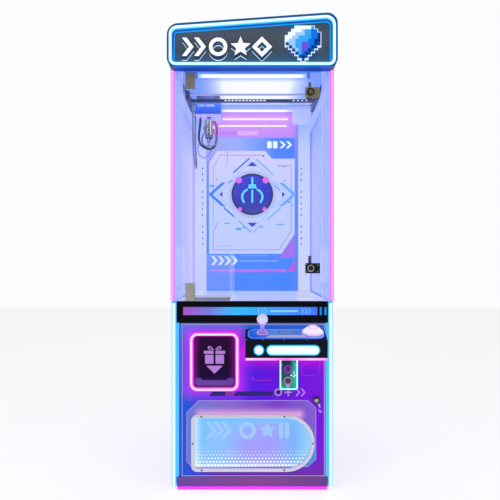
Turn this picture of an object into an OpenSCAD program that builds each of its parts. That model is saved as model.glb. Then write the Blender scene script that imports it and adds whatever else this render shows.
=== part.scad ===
// Claw crane machine: a lit cabinet with a glass cabin, a travelling claw gantry,
// a hinged service door that carries the console, coin unit and prize flap, and a sign on top.
// Millimetres, +Z up. X runs to the player's right, -Y faces the player.
// The origin is at floor level, in the middle of the machine's footprint with its console.

/* [Cabinet] */
// Width over the cabinet's side panels
body_w = 650; // [646:1:660]
// Depth from the front plane to the back sheet
body_d = 660; // [640:5:700]
// How far the console stands out from the front plane
console_reach = 100; // [96:1:104]
// Height of the playfield floor
deck_z = 757; // [752:1:760]
// Height of the cabin ceiling
ceiling_z = 1722; // [1718:1:1730]
// Where the white lamp tube hangs, front to back
lamp_y = -200; // [-210:1:-140]
// Thickness of the cabinet boards
board_t = 18; // [16:1:18]
// Thickness of the side windows
pane_t = 5; // [4:0.5:5]

/* [Sign] */
// Width of the sign box
sign_w = 666; // [660:1:670]
// Lowest edge of the sign
sign_low = 1675; // [1674:1:1677]
// Top edge of the sign at its left end
sign_left = 1841; // [1830:1:1850]
// Top edge of the sign at its right end
sign_right = 1888; // [1870:1:1900]
// How far the sign stands out from the front plane
sign_reach = 50; // [46:1:54]

/* [Gantry] */
// Where the claw hangs, left to right
claw_x = -188; // [-190:1:-180]
// Where the claw hangs, front to back
claw_y = -120; // [-124:1:-116]
// Top of the bars that the carriage rolls on
bar_top = 1604; // [1602:1:1606]
// Distance from the bridge's middle to each bar
bar_offset = 44; // [43:1:45]
// Radius of the bridge's wheels
bridge_wheel_r = 12; // [11.5:0.5:12]
// Radius of the carriage's wheels
carriage_wheel_r = 10; // [9:0.5:10]

/* [Controls] */
// Diameter of the joystick's ball
ball_d = 43; // [35:1:45]
// Diameter of the start button's dome
dome_d = 76; // [60:1:78]
// Travel of the start button
button_travel = 4; // [3:0.5:4]
// Width of the coin slot
coin_slot = 5; // [4.5:0.5:6]

/* [Hidden] */
$fn = 48;
fit = 0.05;
front_y = console_reach - (body_d + console_reach) / 2;
back_y = front_y + body_d;
half_w = body_w / 2;
board_x = half_w - board_t;

// Service door
door_x = 292;
door_low = 56;
door_top = 669;
door_t = 16;
door_back = front_y + door_t;
hang_x = -284;
hang_y = front_y + 8;
hang_r = 8;
hang_pin_r = 4;
flap_x = -151.5;
flap_w = 165;
flap_low = 414;
flap_axis_z = 612;
flap_axis_y = front_y + 8;
window = [[-244, 77], [249, 77], [249, 304], [-244, 304]];
window_r = [24, 113, 113, 24];
trim_w = 13;
trim_t = 6;
lock_x = 256;
lock_z = 362;
coin_x = 145;
coin_low = 405;
coin_top = 530;
entry_z = 488;
reject_z = 440;

// Console
console_left = -27;
console_right = 286;
console_low = 550;
console_back_z = 646;
console_fall = 28;
console_wall = 3;
console_front = front_y - console_reach + console_wall;
slope = atan(console_fall / (console_reach - console_wall));
stick_x = 39;
start_x = 236;
control_y = -47;
stick_pivot = -15;
stick_shaft_r = 8;
stick_hole_r = 14;
ball_rise = 62;

// Cabin
post_top = 1699;
rear_post_y = 346;
guard_x = -85;
guard_y = 60;
guard_h = 190;
duct_left = -291;
duct_right = -59;
hole_left = -286;
hole_right = -93;
glass_x0 = -273;
glass_x1 = 271;
glass_low = 762;
glass_top = 1668;
glass_y = front_y + 3;
glass_t = 6;
pivot_x = -262;
pivot_y = glass_y + glass_t / 2;
pivot_r = 3;
latch_x = 233;
latch_low_z = 889;
latch_top_z = 1592;
cam_y = front_y + 24;

// Gantry
rail_z = 1600;
rail_t = 4;
axle_r = 4;
bridge_axle_y = 68;
truck_x = 262;
truck_t = 16;
carriage_axle_x = 35;
carriage_axle_r = 3;
bar_size = 12;
cover_w = 109;
cover_low = 1541;
cover_top = 1589;
drum_r = 15;
cord_d = 3;
drum_x = claw_x + drum_r + cord_d / 2 + 0.4;
drum_z = 1566;

// Claw
coil_r = 17;
coil_low = 1452;
coil_top = 1530;
finger_hinge_r = 22;
finger_hinge_z = 1499;
finger_arc_z = 1450;
finger_arc_r = 35;
finger_w = 4;
finger_t = 6;
finger_pin_r = 1.5;
plunger_r = 5;

// Service loop of the bridge's lead, from its front bar down and back up to its rear bar
gantry_lead = [
    [-253, -164, 1592], [-253, -164, 1560], [-253, -164, 1500], [-252, -164, 1440],
    [-250, -162, 1390], [-247, -152, 1350], [-245, -136, 1330], [-244, -118, 1322],
    [-245, -100, 1331], [-247, -86, 1352], [-250, -78, 1392], [-252, -76, 1440],
    [-253, -76, 1500], [-253, -76, 1560], [-253, -76, 1592]
];
// Claw lead from under the carriage cover, round below the claw and up to its coil
claw_lead = [
    [-226, -112, 1540], [-226, -111, 1520], [-227, -106, 1490], [-227, -98, 1460],
    [-222, -88, 1436], [-206, -80, 1422], [-188, -77, 1417], [-168, -79, 1424],
    [-156, -86, 1444], [-152, -94, 1470], [-153, -103, 1496], [-158, -110, 1514], [-166, -115, 1526]
];
lead_r = 4;
lead_sides = 8;

// ---- outlines -------------------------------------------------------------------------

function unit(v) = v / norm(v);
function turn_of(p, q, s) =
    let (u = unit(q - p), v = unit(s - q)) atan2(u[0] * v[1] - u[1] * v[0], u * v);
function bend_centre(p, q, s, r) =
    let (u = unit(q - p)) q - r * tan(turn_of(p, q, s) / 2) * u + r * [-u[1], u[0]];
function bend_start(p, q) = let (u = unit(q - p)) atan2(-u[0], u[1]);
function before(points, i) = points[(i + len(points) - 1) % len(points)];
function after(points, i) = points[(i + 1) % len(points)];

// A counter-clockwise outline with each corner rounded by its own radius
function rounded(points, radii, steps = 8) = [
    for (i = [0:len(points) - 1])
        let (
            p = before(points, i),
            q = points[i],
            s = after(points, i),
            centre = bend_centre(p, q, s, radii[i]),
            start = bend_start(p, q),
            turn = turn_of(p, q, s)
        )
        for (k = [0:steps]) centre + radii[i] * [cos(start + turn * k / steps), sin(start + turn * k / steps)]
];
function rect(x0, x1, z0, z1) = [[x0, z0], [x1, z0], [x1, z1], [x0, z1]];
function round_rect(x0, x1, z0, z1, r, steps = 8) = rounded(rect(x0, x1, z0, z1), [r, r, r, r], steps);

// The sign's outline, drawn in by a margin from its outer edge
sign_rise = (sign_right - sign_left) / sign_w;
function sign_points(margin) = [
    [-sign_w / 2 + margin, sign_low + margin],
    [sign_w / 2 - margin, sign_low + margin],
    [sign_w / 2 - margin, sign_right - margin * (norm([1, sign_rise]) + sign_rise)],
    [-sign_w / 2 + margin, sign_left - margin * (norm([1, sign_rise]) - sign_rise)]
];
function sign_radii(margin) = [for (r = [34, 34, 40, 44]) r - margin];
function window_points(margin) = [
    [window[0][0] + margin, window[0][1] + margin],
    [window[1][0] - margin, window[1][1] + margin],
    [window[2][0] - margin, window[2][1] - margin],
    [window[3][0] + margin, window[3][1] - margin]
];
function window_radii(margin) = [for (r = window_r) r - margin];

// A plate drawn in X and Z whose front face is at y
module upright(y, t) {
    translate([0, y + t, 0]) rotate([90, 0, 0]) linear_extrude(t) children();
}

// A plate drawn in Y and Z that runs along X from x0 to x1
module along_x(x0, x1) {
    translate([x0, 0, 0]) rotate([90, 0, 90]) linear_extrude(x1 - x0) children();
}

module block(x0, x1, y0, y1, z0, z1) {
    translate([x0, y0, z0]) cube([x1 - x0, y1 - y0, z1 - z0]);
}

module rod_x(x0, x1, y, z, r) {
    translate([x0, y, z]) rotate([0, 90, 0]) cylinder(r = r, h = x1 - x0);
}

module rod_y(x, y0, y1, z, r) {
    translate([x, y0, z]) rotate([-90, 0, 0]) cylinder(r = r, h = y1 - y0);
}

module rod_z(x, y, z0, z1, r) {
    translate([x, y, z0]) cylinder(r = r, h = z1 - z0);
}

// A round tube bent along a closed outline in X and Z
module tube_loop(points, radii, d) {
    for (i = [0:len(points) - 1]) {
        q = points[i];
        s = after(points, i);
        v = unit(s - q);
        turn = turn_of(before(points, i), q, s);
        next_turn = turn_of(q, s, after(points, (i + 1) % len(points)));
        lead = radii[i] * tan(turn / 2);
        trail = after(radii, i) * tan(next_turn / 2);
        start = q + lead * v;
        centre = bend_centre(before(points, i), q, s, radii[i]);
        translate([start[0], 0, start[1]])
            rotate([0, atan2(v[0], v[1]), 0])
                cylinder(d = d, h = norm(s - q) - lead - trail);
        translate([centre[0], 0, centre[1]])
            rotate([90, 0, 0])
                rotate([0, 0, bend_start(before(points, i), q)])
                    rotate_extrude(angle = turn) translate([radii[i], 0]) circle(d = d);
    }
}

// A round tube with flat sides, swept along a list of points
function direction(path, i) =
    unit(path[min(i + 1, len(path) - 1)] - path[max(i - 1, 0)]);
function ring(centre, along, r, sides) =
    let (side = unit(cross(along, [0.3, 1, 0.1])), up = cross(side, along))
    [for (k = [0:sides - 1]) centre + r * (cos(360 * k / sides) * side + sin(360 * k / sides) * up)];
module swept(path, r, sides) {
    last = len(path) - 1;
    points = [for (i = [0:last]) each ring(path[i], direction(path, i), r, sides)];
    walls = [
        for (i = [0:last - 1])
            for (k = [0:sides - 1])
                let (a = i * sides + k, b = i * sides + (k + 1) % sides)
                each [[a, b, b + sides], [a, b + sides, a + sides]]
    ];
    head = [for (k = [1:sides - 2]) [0, k + 1, k]];
    tail = [for (k = [1:sides - 2]) [last * sides, last * sides + k, last * sides + k + 1]];
    polyhedron(points = points, faces = concat(walls, head, tail));
}

// Places things on the console's sloping top: Z is its normal and -Y runs down to the player
module on_console() {
    translate([0, front_y, console_back_z]) rotate([slope, 0, 0]) children();
}

// ---- lower cabinet ---------------------------------------------------------------------

// Folded steel floor tray with the kick board that closes the front below the service door
module base_pan() color("indigo") {
    wall = 4;
    difference() {
        block(-board_x + 1, board_x - 1, front_y + 22, back_y - 8, 30, 52);
        block(-board_x + 1 + wall, board_x - 1 - wall, front_y + 22 + wall, back_y - 8 - wall, 30 + wall, 60);
        for (x = [-1, 1], y = [front_y + 70, back_y - 70])
            rod_z(x * 262, y, 20, 40, 6.4);
    }
    difference() {
        block(-302, 302, front_y, front_y + 22.5, 16, 54);
        rod_z(hang_x, hang_y, door_low - 10, 55, hang_pin_r + fit);
    }
}

// Four adjustable feet: a rubber-faced pad, a threaded stem and a lock nut
module levelling_feet() color("dimgray")
    for (x = [-1, 1], y = [front_y + 70, back_y - 70]) {
        rod_z(x * 262, y, 0, 12, 25);
        rod_z(x * 262, y, 12, 46, 6);
        translate([x * 262, y, 20]) cylinder(r = 11, h = 9, $fn = 6);
    }

// Left and right boards with the stiles that the service door closes between
module side_panels() color("whitesmoke")
    for (x = [0, 1]) mirror([x, 0, 0]) {
        block(board_x, half_w, front_y + 20, back_y - 6, 20, deck_z);
        block(294.5, half_w, front_y + 18, front_y + 22, 56, deck_z);
        block(303, half_w, front_y + 20, front_y + 22, 20, 60);
        block(294.5, 303, front_y, front_y + 18, 56, 670);
    }

// Back sheet of the whole machine, with cooling slots and the opening for the power inlet
module back_panel() color("lavender") {
    slots = 9;
    difference() {
        block(-half_w, half_w, back_y - 6, back_y, 20, post_top);
        for (i = [0:slots - 1])
            block(60, 220, back_y - 7, back_y + 1, 500 + 18 * i, 508 + 18 * i);
        block(-226, -174, back_y - 7, back_y + 1, 118, 150);
    }
}

// Black band between the cabin and the service door, with the recess for its light bar
module fascia_band() color("black")
    difference() {
        block(-303, 303, front_y, front_y + 17.8, 671, deck_z - 0.2);
        block(-278, 262, front_y - 1, front_y + 3, 700, 735);
        for (x = [269, 288]) block(x, x + 10, front_y - 1, front_y + 3, 700, 735);
        rod_z(pivot_x, pivot_y, deck_z - 14, deck_z + 1, pivot_r + fit);
        rod_z(hang_x, hang_y, 670, door_top + 10, hang_pin_r + fit);
    }

// Steel tray on the base pan with a power supply and a control board
module electronics_tray() color("silver") translate([-115, 130, 34.2]) {
    cube([230, 220, 2.8]);
    difference() {
        block(20, 130, 20, 200, 2.5, 56);
        for (i = [0:7]) block(40, 110, 38 + 18 * i, 46 + 18 * i, 50, 57);
    }
    for (x = [150, 210], y = [30, 190]) rod_z(x, y, 2.5, 11, 3);
    block(142, 220, 24, 196, 10.8, 13);
    block(160, 190, 50, 80, 12.8, 21);
    block(154, 206, 160, 176, 12.8, 26);
}

// Power inlet: a flanged socket with three contact blades, set in the back panel
module mains_inlet() color("dimgray") {
    difference() {
        union() {
            block(-230, -170, back_y - 9, back_y - 6.2, 112, 156);
            block(-225, -175, back_y - 30, back_y - 9, 119, 149);
            block(-225, -175, back_y - 9, back_y - 1, 119, 149);
        }
        block(-216, -184, back_y - 26, back_y, 124, 144);
    }
    for (x = [-209, -201, -193]) block(x, x + 2, back_y - 26, back_y - 8, 130, 138);
}

// Open bin that stands on the base pan and catches the coins
module cash_bin() color("gray")
    difference() {
        block(60, 250, -250, -120, 35, 165);
        block(62.5, 247.5, -247.5, -122.5, 38, 166);
        block(120, 190, -251, -240, 138, 152);
    }

// Lit tube down each front corner of the lower cabinet
module lower_edge_lights() color("cyan")
    for (x = [-1, 1]) rod_z(x * 314, front_y + 7, 16, 750, 10);

// Lit strip along the floor line under the kick board
module base_light_strip() color("magenta")
    block(-300, 300, front_y + 2, front_y + 14, 3, 14);

// ---- cabin -----------------------------------------------------------------------------

// Playfield floor with the hole over the prize chute and a stepped bracket at the right
module deck() color("white") {
    difference() {
        block(-board_x + 0.5, board_x - 0.5, front_y + 22.5, back_y - 8, deck_z - 12, deck_z);
        block(hole_left, hole_right, front_y + 30, guard_y - 8, deck_z - 13, deck_z + 1);
    }
    block(200, 272, -128, -100, deck_z, deck_z + 14);
    block(200, 252, -128, -100, deck_z + 14, deck_z + 36);
}

// Sheet duct under the hole, with a sloping floor that runs down to the prize flap
module prize_chute() color("gainsboro")
    difference() {
        along_x(duct_left, duct_right)
            polygon([[-254, 393], [guard_y - 4, 497], [guard_y - 4, deck_z - 12.2], [-254, deck_z - 12.2]]);
        along_x(duct_left + 3, duct_right - 3)
            polygon([
                [-260, 396], [-250, 397.5], [guard_y - 7, 503], [guard_y - 7, deck_z],
                [-251, deck_z], [-251, 640], [-260, 640]
            ]);
    }

// Clear acrylic wall round the hole, on its right and at its back
module prize_guard() color([0.8, 0.9, 1, 0.4]) {
    block(guard_x - 4, guard_x, front_y + 24, guard_y - 4, deck_z, deck_z + guard_h);
    block(-302, guard_x, guard_y - 4, guard_y, deck_z, deck_z + guard_h);
}

// Two slim clear posts at the front and two wide white pillars at the back
module cabin_posts() color("white")
    for (x = [0, 1]) mirror([x, 0, 0]) {
        block(279, 310, front_y + 2, front_y + 18, deck_z + 0.2, post_top);
        block(247, 309, rear_post_y, back_y - 8.2, deck_z + 0.2, post_top);
    }

// Side windows
module side_glass() color([0.8, 0.9, 1, 0.3])
    for (x = [0, 1]) mirror([x, 0, 0])
        block(315, 315 + pane_t, front_y + 20, back_y - 8.2, deck_z + 0.2, post_top);

// Printed panel between the rear pillars
module rear_graphic() color("mediumpurple")
    block(-245, 245, 358, 362, deck_z + 0.2, post_top);

// Roof: a pan turned upside down, its front skirt carries the glass door's upper pivot
module roof_pan() color("midnightblue")
    difference() {
        union() {
            difference() {
                block(-half_w, half_w, front_y, back_y, post_top + 1, 1765);
                block(-half_w + 4, half_w - 4, front_y + 18, back_y - 4, post_top, 1761);
            }
            block(-half_w, half_w, front_y, front_y + 17.5, 1680, post_top + 2);
        }
        rod_z(pivot_x, pivot_y, 1679, 1692, pivot_r + fit);
        for (x = [-1, 1]) rod_z(x * 320, front_y + 8, 1679, 1691, 8.3);
        for (x = [0, 1]) mirror([x, 0, 0]) block(278.5, 310.5, front_y + 1.5, front_y + 18.5, 1679, post_top + 0.2);
    }

// White board under the roof
module ceiling_panel() color("aliceblue")
    block(-312, 312, front_y + 20, back_y - 10, ceiling_z, ceiling_z + 6);

// White lamp tube across the front of the ceiling, on two end caps
module front_light_tube() color("white") {
    rod_x(-228, 228, lamp_y, 1690, 7);
    for (x = [-1, 1]) translate([x * 234, 0, 0])
        block(-6, 6, lamp_y - 8, lamp_y + 8, 1681, ceiling_z - 0.2);
}

// Lit tube down each front corner of the cabin
module cabin_edge_lights() color("violet")
    for (x = [-1, 1]) rod_z(x * 320, front_y + 8, deck_z + 1, 1690, 8);

// Box that hides the bridge motor and wiring, under the ceiling at the back right
module motor_box() color("white") {
    upright(224, 90) polygon(round_rect(212, 300, 1638, ceiling_z - 0.2, 14));
}

// ---- sign ------------------------------------------------------------------------------

// Folded box with a sloping top edge, recessed in front
module marquee_housing() color("midnightblue") {
    face_y = front_y - sign_reach;
    difference() {
        union() {
            upright(face_y, sign_reach - 1) polygon(rounded(sign_points(0), sign_radii(0)));
            intersection() {
                upright(face_y + 10, sign_reach + 60) polygon(rounded(sign_points(0), sign_radii(0)));
                block(-400, 400, face_y, back_y, 1766, 1950);
            }
        }
        upright(face_y - 1, 27) polygon(rounded(sign_points(5), sign_radii(5)));
    }
}

// Grey acrylic face in the recess
module marquee_face() color("slategray")
    upright(front_y - sign_reach + 21, 4.8) polygon(rounded(sign_points(5.5), sign_radii(5.5)));

// Lit tube round the sign
module marquee_neon() color("cyan")
    upright(front_y - sign_reach + 0.5, 12) difference() {
        polygon(rounded(sign_points(6), sign_radii(6)));
        polygon(rounded(sign_points(18), sign_radii(18)));
    }

// Raised figures on the face: two arrow heads, a ring, a star, a diamond and a badge
module marquee_figures() color("white") {
    face_y = front_y - sign_reach + 13;
    mid_z = 1758;
    figure_h = 72;
    upright(face_y, 8) {
        for (x = [-276, -228])
            polygon([
                [x, mid_z - figure_h / 2], [x + 18, mid_z - figure_h / 2], [x + 46, mid_z],
                [x + 18, mid_z + figure_h / 2], [x, mid_z + figure_h / 2], [x + 28, mid_z]
            ]);
        translate([-134, mid_z]) difference() {
            circle(r = figure_h / 2);
            circle(r = figure_h / 2 - 14);
        }
        translate([-46, mid_z])
            polygon([for (i = [0:9]) (i % 2 == 0 ? 41 : 18) * [sin(36 * i), cos(36 * i)]]);
        translate([38, mid_z]) difference() {
            polygon([for (i = [0:3]) 40 * [sin(90 * i), cos(90 * i)]]);
            polygon([for (i = [0:3]) 20 * [sin(90 * i), cos(90 * i)]]);
        }
        translate([196, mid_z + 8])
            polygon([[-62, -22], [-40, -48], [10, -58], [58, -40], [62, 30], [40, 56], [-20, 50], [-58, 20]]);
    }
}

// ---- gantry ----------------------------------------------------------------------------

// Angle rails along both sides, hung from the ceiling
module gantry_rails() color("silver")
    for (x = [0, 1]) mirror([x, 0, 0]) {
        block(282, 308, -240, 340, rail_z, rail_z + rail_t);
        block(305, 308, -240, 340, rail_z + rail_t, rail_z + 40);
        for (y = [-200, 60, 300]) block(305, 308, y, y + 30, rail_z + 40, ceiling_z - 0.1);
    }

// Bridge: two square bars between two end trucks, with the bores for its axles and its motor
module bridge_frame() color("black") {
    for (y = [-bar_offset, bar_offset])
        block(-truck_x, truck_x, claw_y + y - bar_size / 2, claw_y + y + bar_size / 2, bar_top - bar_size, bar_top);
    for (x = [0, 1]) mirror([x, 0, 0])
        difference() {
            block(truck_x, truck_x + truck_t, claw_y - 80, claw_y + 80, bar_top - bar_size, 1630);
            for (y = [-1, 1])
                rod_x(truck_x - 1, truck_x + truck_t + 1, claw_y + y * bridge_axle_y, bridge_axle_z(), axle_r + fit);
        }
    block(232, 256, claw_y - 30, claw_y + 30, bar_top + 2, bar_top + 28);
    block(232, truck_x + 1, claw_y - 24, claw_y + 24, bar_top + 2, bar_top + 8);
}
function bridge_axle_z() = rail_z + rail_t + bridge_wheel_r + fit;

// A bridge axle: one long shaft with a flanged wheel on each end
module bridge_axle(y) {
    rod_x(-304, 304, y, bridge_axle_z(), axle_r);
    for (x = [0, 1]) mirror([x, 0, 0]) {
        rod_x(284, 300, y, bridge_axle_z(), bridge_wheel_r);
        rod_x(truck_x - 10, truck_x - 1, y, bridge_axle_z(), 8);
    }
}
module bridge_drive_axle() color("gray") bridge_axle(claw_y - bridge_axle_y);
module bridge_idler_axle() color("gray") bridge_axle(claw_y + bridge_axle_y);

// Carriage: two side plates, a floor between the bars and the hoist motor
module carriage_frame() color("silver") {
    inner = bar_offset - bar_size / 2 - 3;
    axle_z = bar_top + carriage_wheel_r + fit;
    difference() {
        for (y = [-1, 1]) translate([0, claw_y + y * (inner - 2), 0])
            block(claw_x - 50, claw_x + 50, -2, 2, 1552, axle_z + 8);
        for (x = [-1, 1])
            rod_y(claw_x + x * carriage_axle_x, claw_y - 60, claw_y + 60, axle_z, carriage_axle_r + fit);
        rod_y(drum_x, claw_y - 60, claw_y + 60, drum_z, 3 + fit);
    }
    block(claw_x - 50, claw_x - 46, claw_y - inner + 1, claw_y + inner - 1, 1560, axle_z + 8);
    block(claw_x - 47, claw_x - 22, claw_y - 22, claw_y + 22, 1556, 1584);
}

// Printed cover that hides the hoist, open at the top, with a hole for the cord
module carriage_cover() color("royalblue")
    difference() {
        block(claw_x - cover_w / 2, claw_x + cover_w / 2, claw_y - 50, claw_y + 50, cover_low, cover_top);
        block(claw_x - cover_w / 2 + 2, claw_x + cover_w / 2 - 2, claw_y - 48, claw_y + 48, cover_low + 2, cover_top + 1);
        rod_z(claw_x, claw_y, cover_low - 1, cover_low + 3, 6);
    }

// A carriage axle with a wheel over each bar
module carriage_axle(x) {
    axle_z = bar_top + carriage_wheel_r + fit;
    rod_y(x, claw_y - bar_offset - 6, claw_y + bar_offset + 6, axle_z, carriage_axle_r);
    for (y = [-1, 1]) rod_y(x, claw_y + y * bar_offset - 5, claw_y + y * bar_offset + 5, axle_z, carriage_wheel_r);
}
module carriage_drive_axle() color("gray") carriage_axle(claw_x - carriage_axle_x);
module carriage_idler_axle() color("gray") carriage_axle(claw_x + carriage_axle_x);

// Flanged drum that winds the hoist cord
module hoist_drum() color("white") {
    rod_y(drum_x, claw_y - 36, claw_y + 36, drum_z, 3);
    rod_y(drum_x, claw_y - 13, claw_y + 13, drum_z, drum_r);
    for (y = [-16, 13]) rod_y(drum_x, claw_y + y, claw_y + y + 3, drum_z, drum_r + 5);
}

// Cord from the drum to the claw
module hoist_cord() color("black")
    rod_z(claw_x, claw_y, coil_top + 7, drum_z, cord_d / 2);

// Grey lead that feeds the bridge
module gantry_cable() color("gray") swept(gantry_lead, lead_r, lead_sides);

// Black lead that feeds the claw's coil
module claw_cable() color("black") swept(claw_lead, lead_r, lead_sides);

// ---- claw ------------------------------------------------------------------------------

// Coil case with the cord eye, three pairs of hinge ears and their pins
module claw_body() color("gainsboro")
    translate([claw_x, claw_y, 0])
        difference() {
            union() {
                rod_z(0, 0, coil_low, coil_top, coil_r);
                rod_z(0, 0, coil_top, coil_top + 7, 6);
                rod_z(0, 0, coil_low - 6, coil_low, 11);
                for (turn = [-90, 30, 150]) rotate([0, 0, turn]) {
                    for (y = [-1, 1]) translate([0, y * 5, 0])
                        block(coil_r - 3, finger_hinge_r + 4, -1.5, 1.5, finger_hinge_z - 6, finger_hinge_z + 6);
                    rod_y(finger_hinge_r, -6.5, 6.5, finger_hinge_z, finger_pin_r);
                }
            }
            rod_z(0, 0, coil_low - 7, coil_low + 40, plunger_r + fit);
        }

// Plunger that the coil draws in to close the fingers
module claw_plunger() color("gold")
    translate([claw_x, claw_y, 0]) {
        rod_z(0, 0, 1438, 1484, plunger_r);
        rod_z(0, 0, 1434, 1438, 8);
    }

// One curved finger, hinged near the top of the coil
module claw_finger(turn) {
    arc_x = 5;
    mid_r = finger_arc_r - finger_w / 2;
    reach = 200;
    translate([claw_x, claw_y, 0]) rotate([0, 0, turn]) difference() {
        union() {
            upright(-finger_t / 2, finger_t) {
                intersection() {
                    translate([arc_x, finger_arc_z]) difference() {
                        circle(r = finger_arc_r);
                        circle(r = finger_arc_r - finger_w);
                    }
                    polygon([
                        [arc_x, finger_arc_z], [arc_x, finger_arc_z - reach], [reach, finger_arc_z - reach],
                        [reach, finger_arc_z + reach], [arc_x + reach * cos(60), finger_arc_z + reach * sin(60)]
                    ]);
                }
                polygon([
                    [arc_x + (mid_r - 2) * cos(60), finger_arc_z + (mid_r - 2) * sin(60)],
                    [arc_x + (mid_r + 2) * cos(58), finger_arc_z + (mid_r + 2) * sin(58)],
                    [finger_hinge_r + 3, finger_hinge_z], [finger_hinge_r - 2.5, finger_hinge_z]
                ]);
            }
            rod_y(finger_hinge_r, -finger_t / 2, finger_t / 2, finger_hinge_z, 4);
        }
        rod_y(finger_hinge_r, -5, 5, finger_hinge_z, finger_pin_r + fit);
    }
}
module claw_finger_front() color("silver") claw_finger(-90);
module claw_finger_right() color("silver") claw_finger(30);
module claw_finger_left() color("silver") claw_finger(150);

// ---- glass door ------------------------------------------------------------------------

// Clear pane that closes the cabin's front, drilled for its two latches
module glass_door() color([0.8, 0.9, 1, 0.25])
    difference() {
        block(glass_x0, glass_x1, glass_y, glass_y + glass_t, glass_low, glass_top);
        for (z = [latch_low_z, latch_top_z]) rod_y(latch_x, glass_y - 1, glass_y + glass_t + 1, z, 10.2);
    }

// Clamp shoes at the pane's left corners, each with a pivot pin, and the two latch plates
module glass_door_fittings() color("tan") {
    for (z = [[766, 829], [1610, 1668]])
        for (y = [glass_y - 3.8, glass_y + glass_t + 0.2])
            block(-268, -230, y, y + 3.6, z[0], z[1]);
    block(-268, -230, glass_y - 3.8, glass_y + glass_t + 3.8, glass_low - 3.6, glass_low - 0.2);
    block(-268, -230, glass_y - 3.8, glass_y + glass_t + 3.8, glass_top + 0.2, glass_top + 4);
    for (y = [glass_y - 3.8, glass_y + glass_t + 0.2]) {
        block(-268, -230, y, y + 3.6, glass_low - 1, 767);
        block(-268, -230, y, y + 3.6, 1667, glass_top + 1);
    }
    rod_z(pivot_x, pivot_y, deck_z - 12, glass_low - 2, pivot_r);
    rod_z(pivot_x, pivot_y, glass_top + 3, 1691, pivot_r);
    for (z = [latch_low_z, latch_top_z]) difference() {
        block(212, 271, glass_y - 4, glass_y - 0.2, z - 20.5, z + 20.5);
        rod_y(latch_x, glass_y - 5, glass_y, z, 10.2);
    }
}

// The turning part of a latch: a head outside the pane, a barrel through it and a cam inside
module latch(z) {
    rod_y(latch_x, front_y - 9, front_y - 1.2, z, 15);
    rod_y(latch_x, front_y - 2, cam_y + 1, z, 10.15);
    rod_y(latch_x, cam_y, cam_y + 3, z, 12);
    block(latch_x - 6, latch_x + 6, cam_y, cam_y + 3, z, z + 50);
}
module upper_latch() color("darkkhaki") latch(latch_top_z);
module lower_latch() color("black") latch(latch_low_z);

// ---- service door ----------------------------------------------------------------------

// Door board with its openings for the prize flap, the window, the coin unit and the lock
module service_door() color("rebeccapurple")
    difference() {
        union() {
            block(hang_x, door_x, front_y, door_back, door_low, door_top);
            rod_z(hang_x, hang_y, door_low, door_top, hang_r);
            rod_z(hang_x, hang_y, door_low - 8, door_top + 8, hang_pin_r);
        }
        upright(front_y - 1, door_t + 2)
            polygon(rounded(rect(flap_x - flap_w / 2 - 1.5, flap_x + flap_w / 2 + 1.5, flap_low - 3, 620), [12, 12, 3, 3]));
        upright(front_y - 1, door_t + 2) polygon(rounded(window_points(trim_w), window_radii(trim_w), 12));
        block(coin_x - 26, coin_x + 26, front_y - 1, door_back + 1, coin_low + 12, coin_top - 12);
        rod_y(lock_x, front_y - 1, door_back + 1, lock_z, 8 + fit);
        block(10, 260, front_y - 1, door_back + 1, 565, 610);
        rod_x(flap_x - flap_w / 2 - 9, flap_x + flap_w / 2 + 9, flap_axis_y, flap_axis_z, 2 + fit);
    }

// Raised trim round the window
module window_trim() color("lightgray")
    difference() {
        upright(front_y - trim_t, trim_t - 0.1) polygon(rounded(window_points(0), window_radii(0), 12));
        upright(front_y - trim_t - 1, trim_t + 2) polygon(rounded(window_points(trim_w), window_radii(trim_w), 12));
    }

// Lit acrylic in the window
module window_pane() color("dodgerblue")
    upright(front_y + 2, 10) polygon(rounded(window_points(trim_w + 0.4), window_radii(trim_w + 0.4), 12));

// Cam lock of the service door: the barrel turns a cam behind the right stile
module service_lock() color("silver") {
    rod_y(lock_x, front_y - 6, front_y - 0.2, lock_z, 13);
    rod_y(lock_x, front_y - 1, door_back + 10, lock_z, 8);
    block(lock_x - 6, lock_x + 6, door_back + 8, door_back + 11, lock_z - 44, lock_z);
    rod_y(lock_x, door_back + 8, door_back + 11, lock_z, 10);
}

// Lit tube round the prize opening
module prize_neon() color("violet")
    translate([0, front_y - 6.4, 0])
        tube_loop(rect(-243, -60, 406, 626), [24, 24, 24, 24], 12);

// Push flap of the prize opening, with the pins it swings on
module prize_flap() color("darkslateblue") {
    upright(flap_axis_y - 2, 4)
        polygon(rounded(rect(flap_x - flap_w / 2, flap_x + flap_w / 2, flap_low, flap_axis_z), [10, 10, 1, 1]));
    rod_x(flap_x - flap_w / 2, flap_x + flap_w / 2, flap_axis_y, flap_axis_z, 4);
    rod_x(flap_x - flap_w / 2 - 7, flap_x + flap_w / 2 + 7, flap_axis_y, flap_axis_z, 2);
}

// Coin unit: plate with a round coin entry, the reject button's bore and the coin path behind
module coin_plate() color("darkcyan")
    difference() {
        union() {
            upright(front_y - 6, 5.8) polygon(round_rect(108, 182, coin_low, coin_top, 9));
            rod_y(coin_x - 3, front_y - 11, front_y - 5, entry_z, 16.5);
            rod_y(coin_x - 3, front_y - 9, front_y - 5, reject_z, 17.5);
            block(coin_x - 25.5, coin_x + 25.5, front_y - 1, front_y + 70, coin_low + 13, coin_top - 13);
        }
        block(coin_x - 3 - coin_slot / 2, coin_x - 3 + coin_slot / 2, front_y - 12, front_y + 62, entry_z - 14, entry_z + 14);
        block(coin_x - 3 - coin_slot / 2, coin_x - 3 + coin_slot / 2, front_y + 30, front_y + 62, coin_low, entry_z);
        rod_y(coin_x - 3, front_y - 10, front_y + 16, reject_z, 13 + fit);
    }

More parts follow.
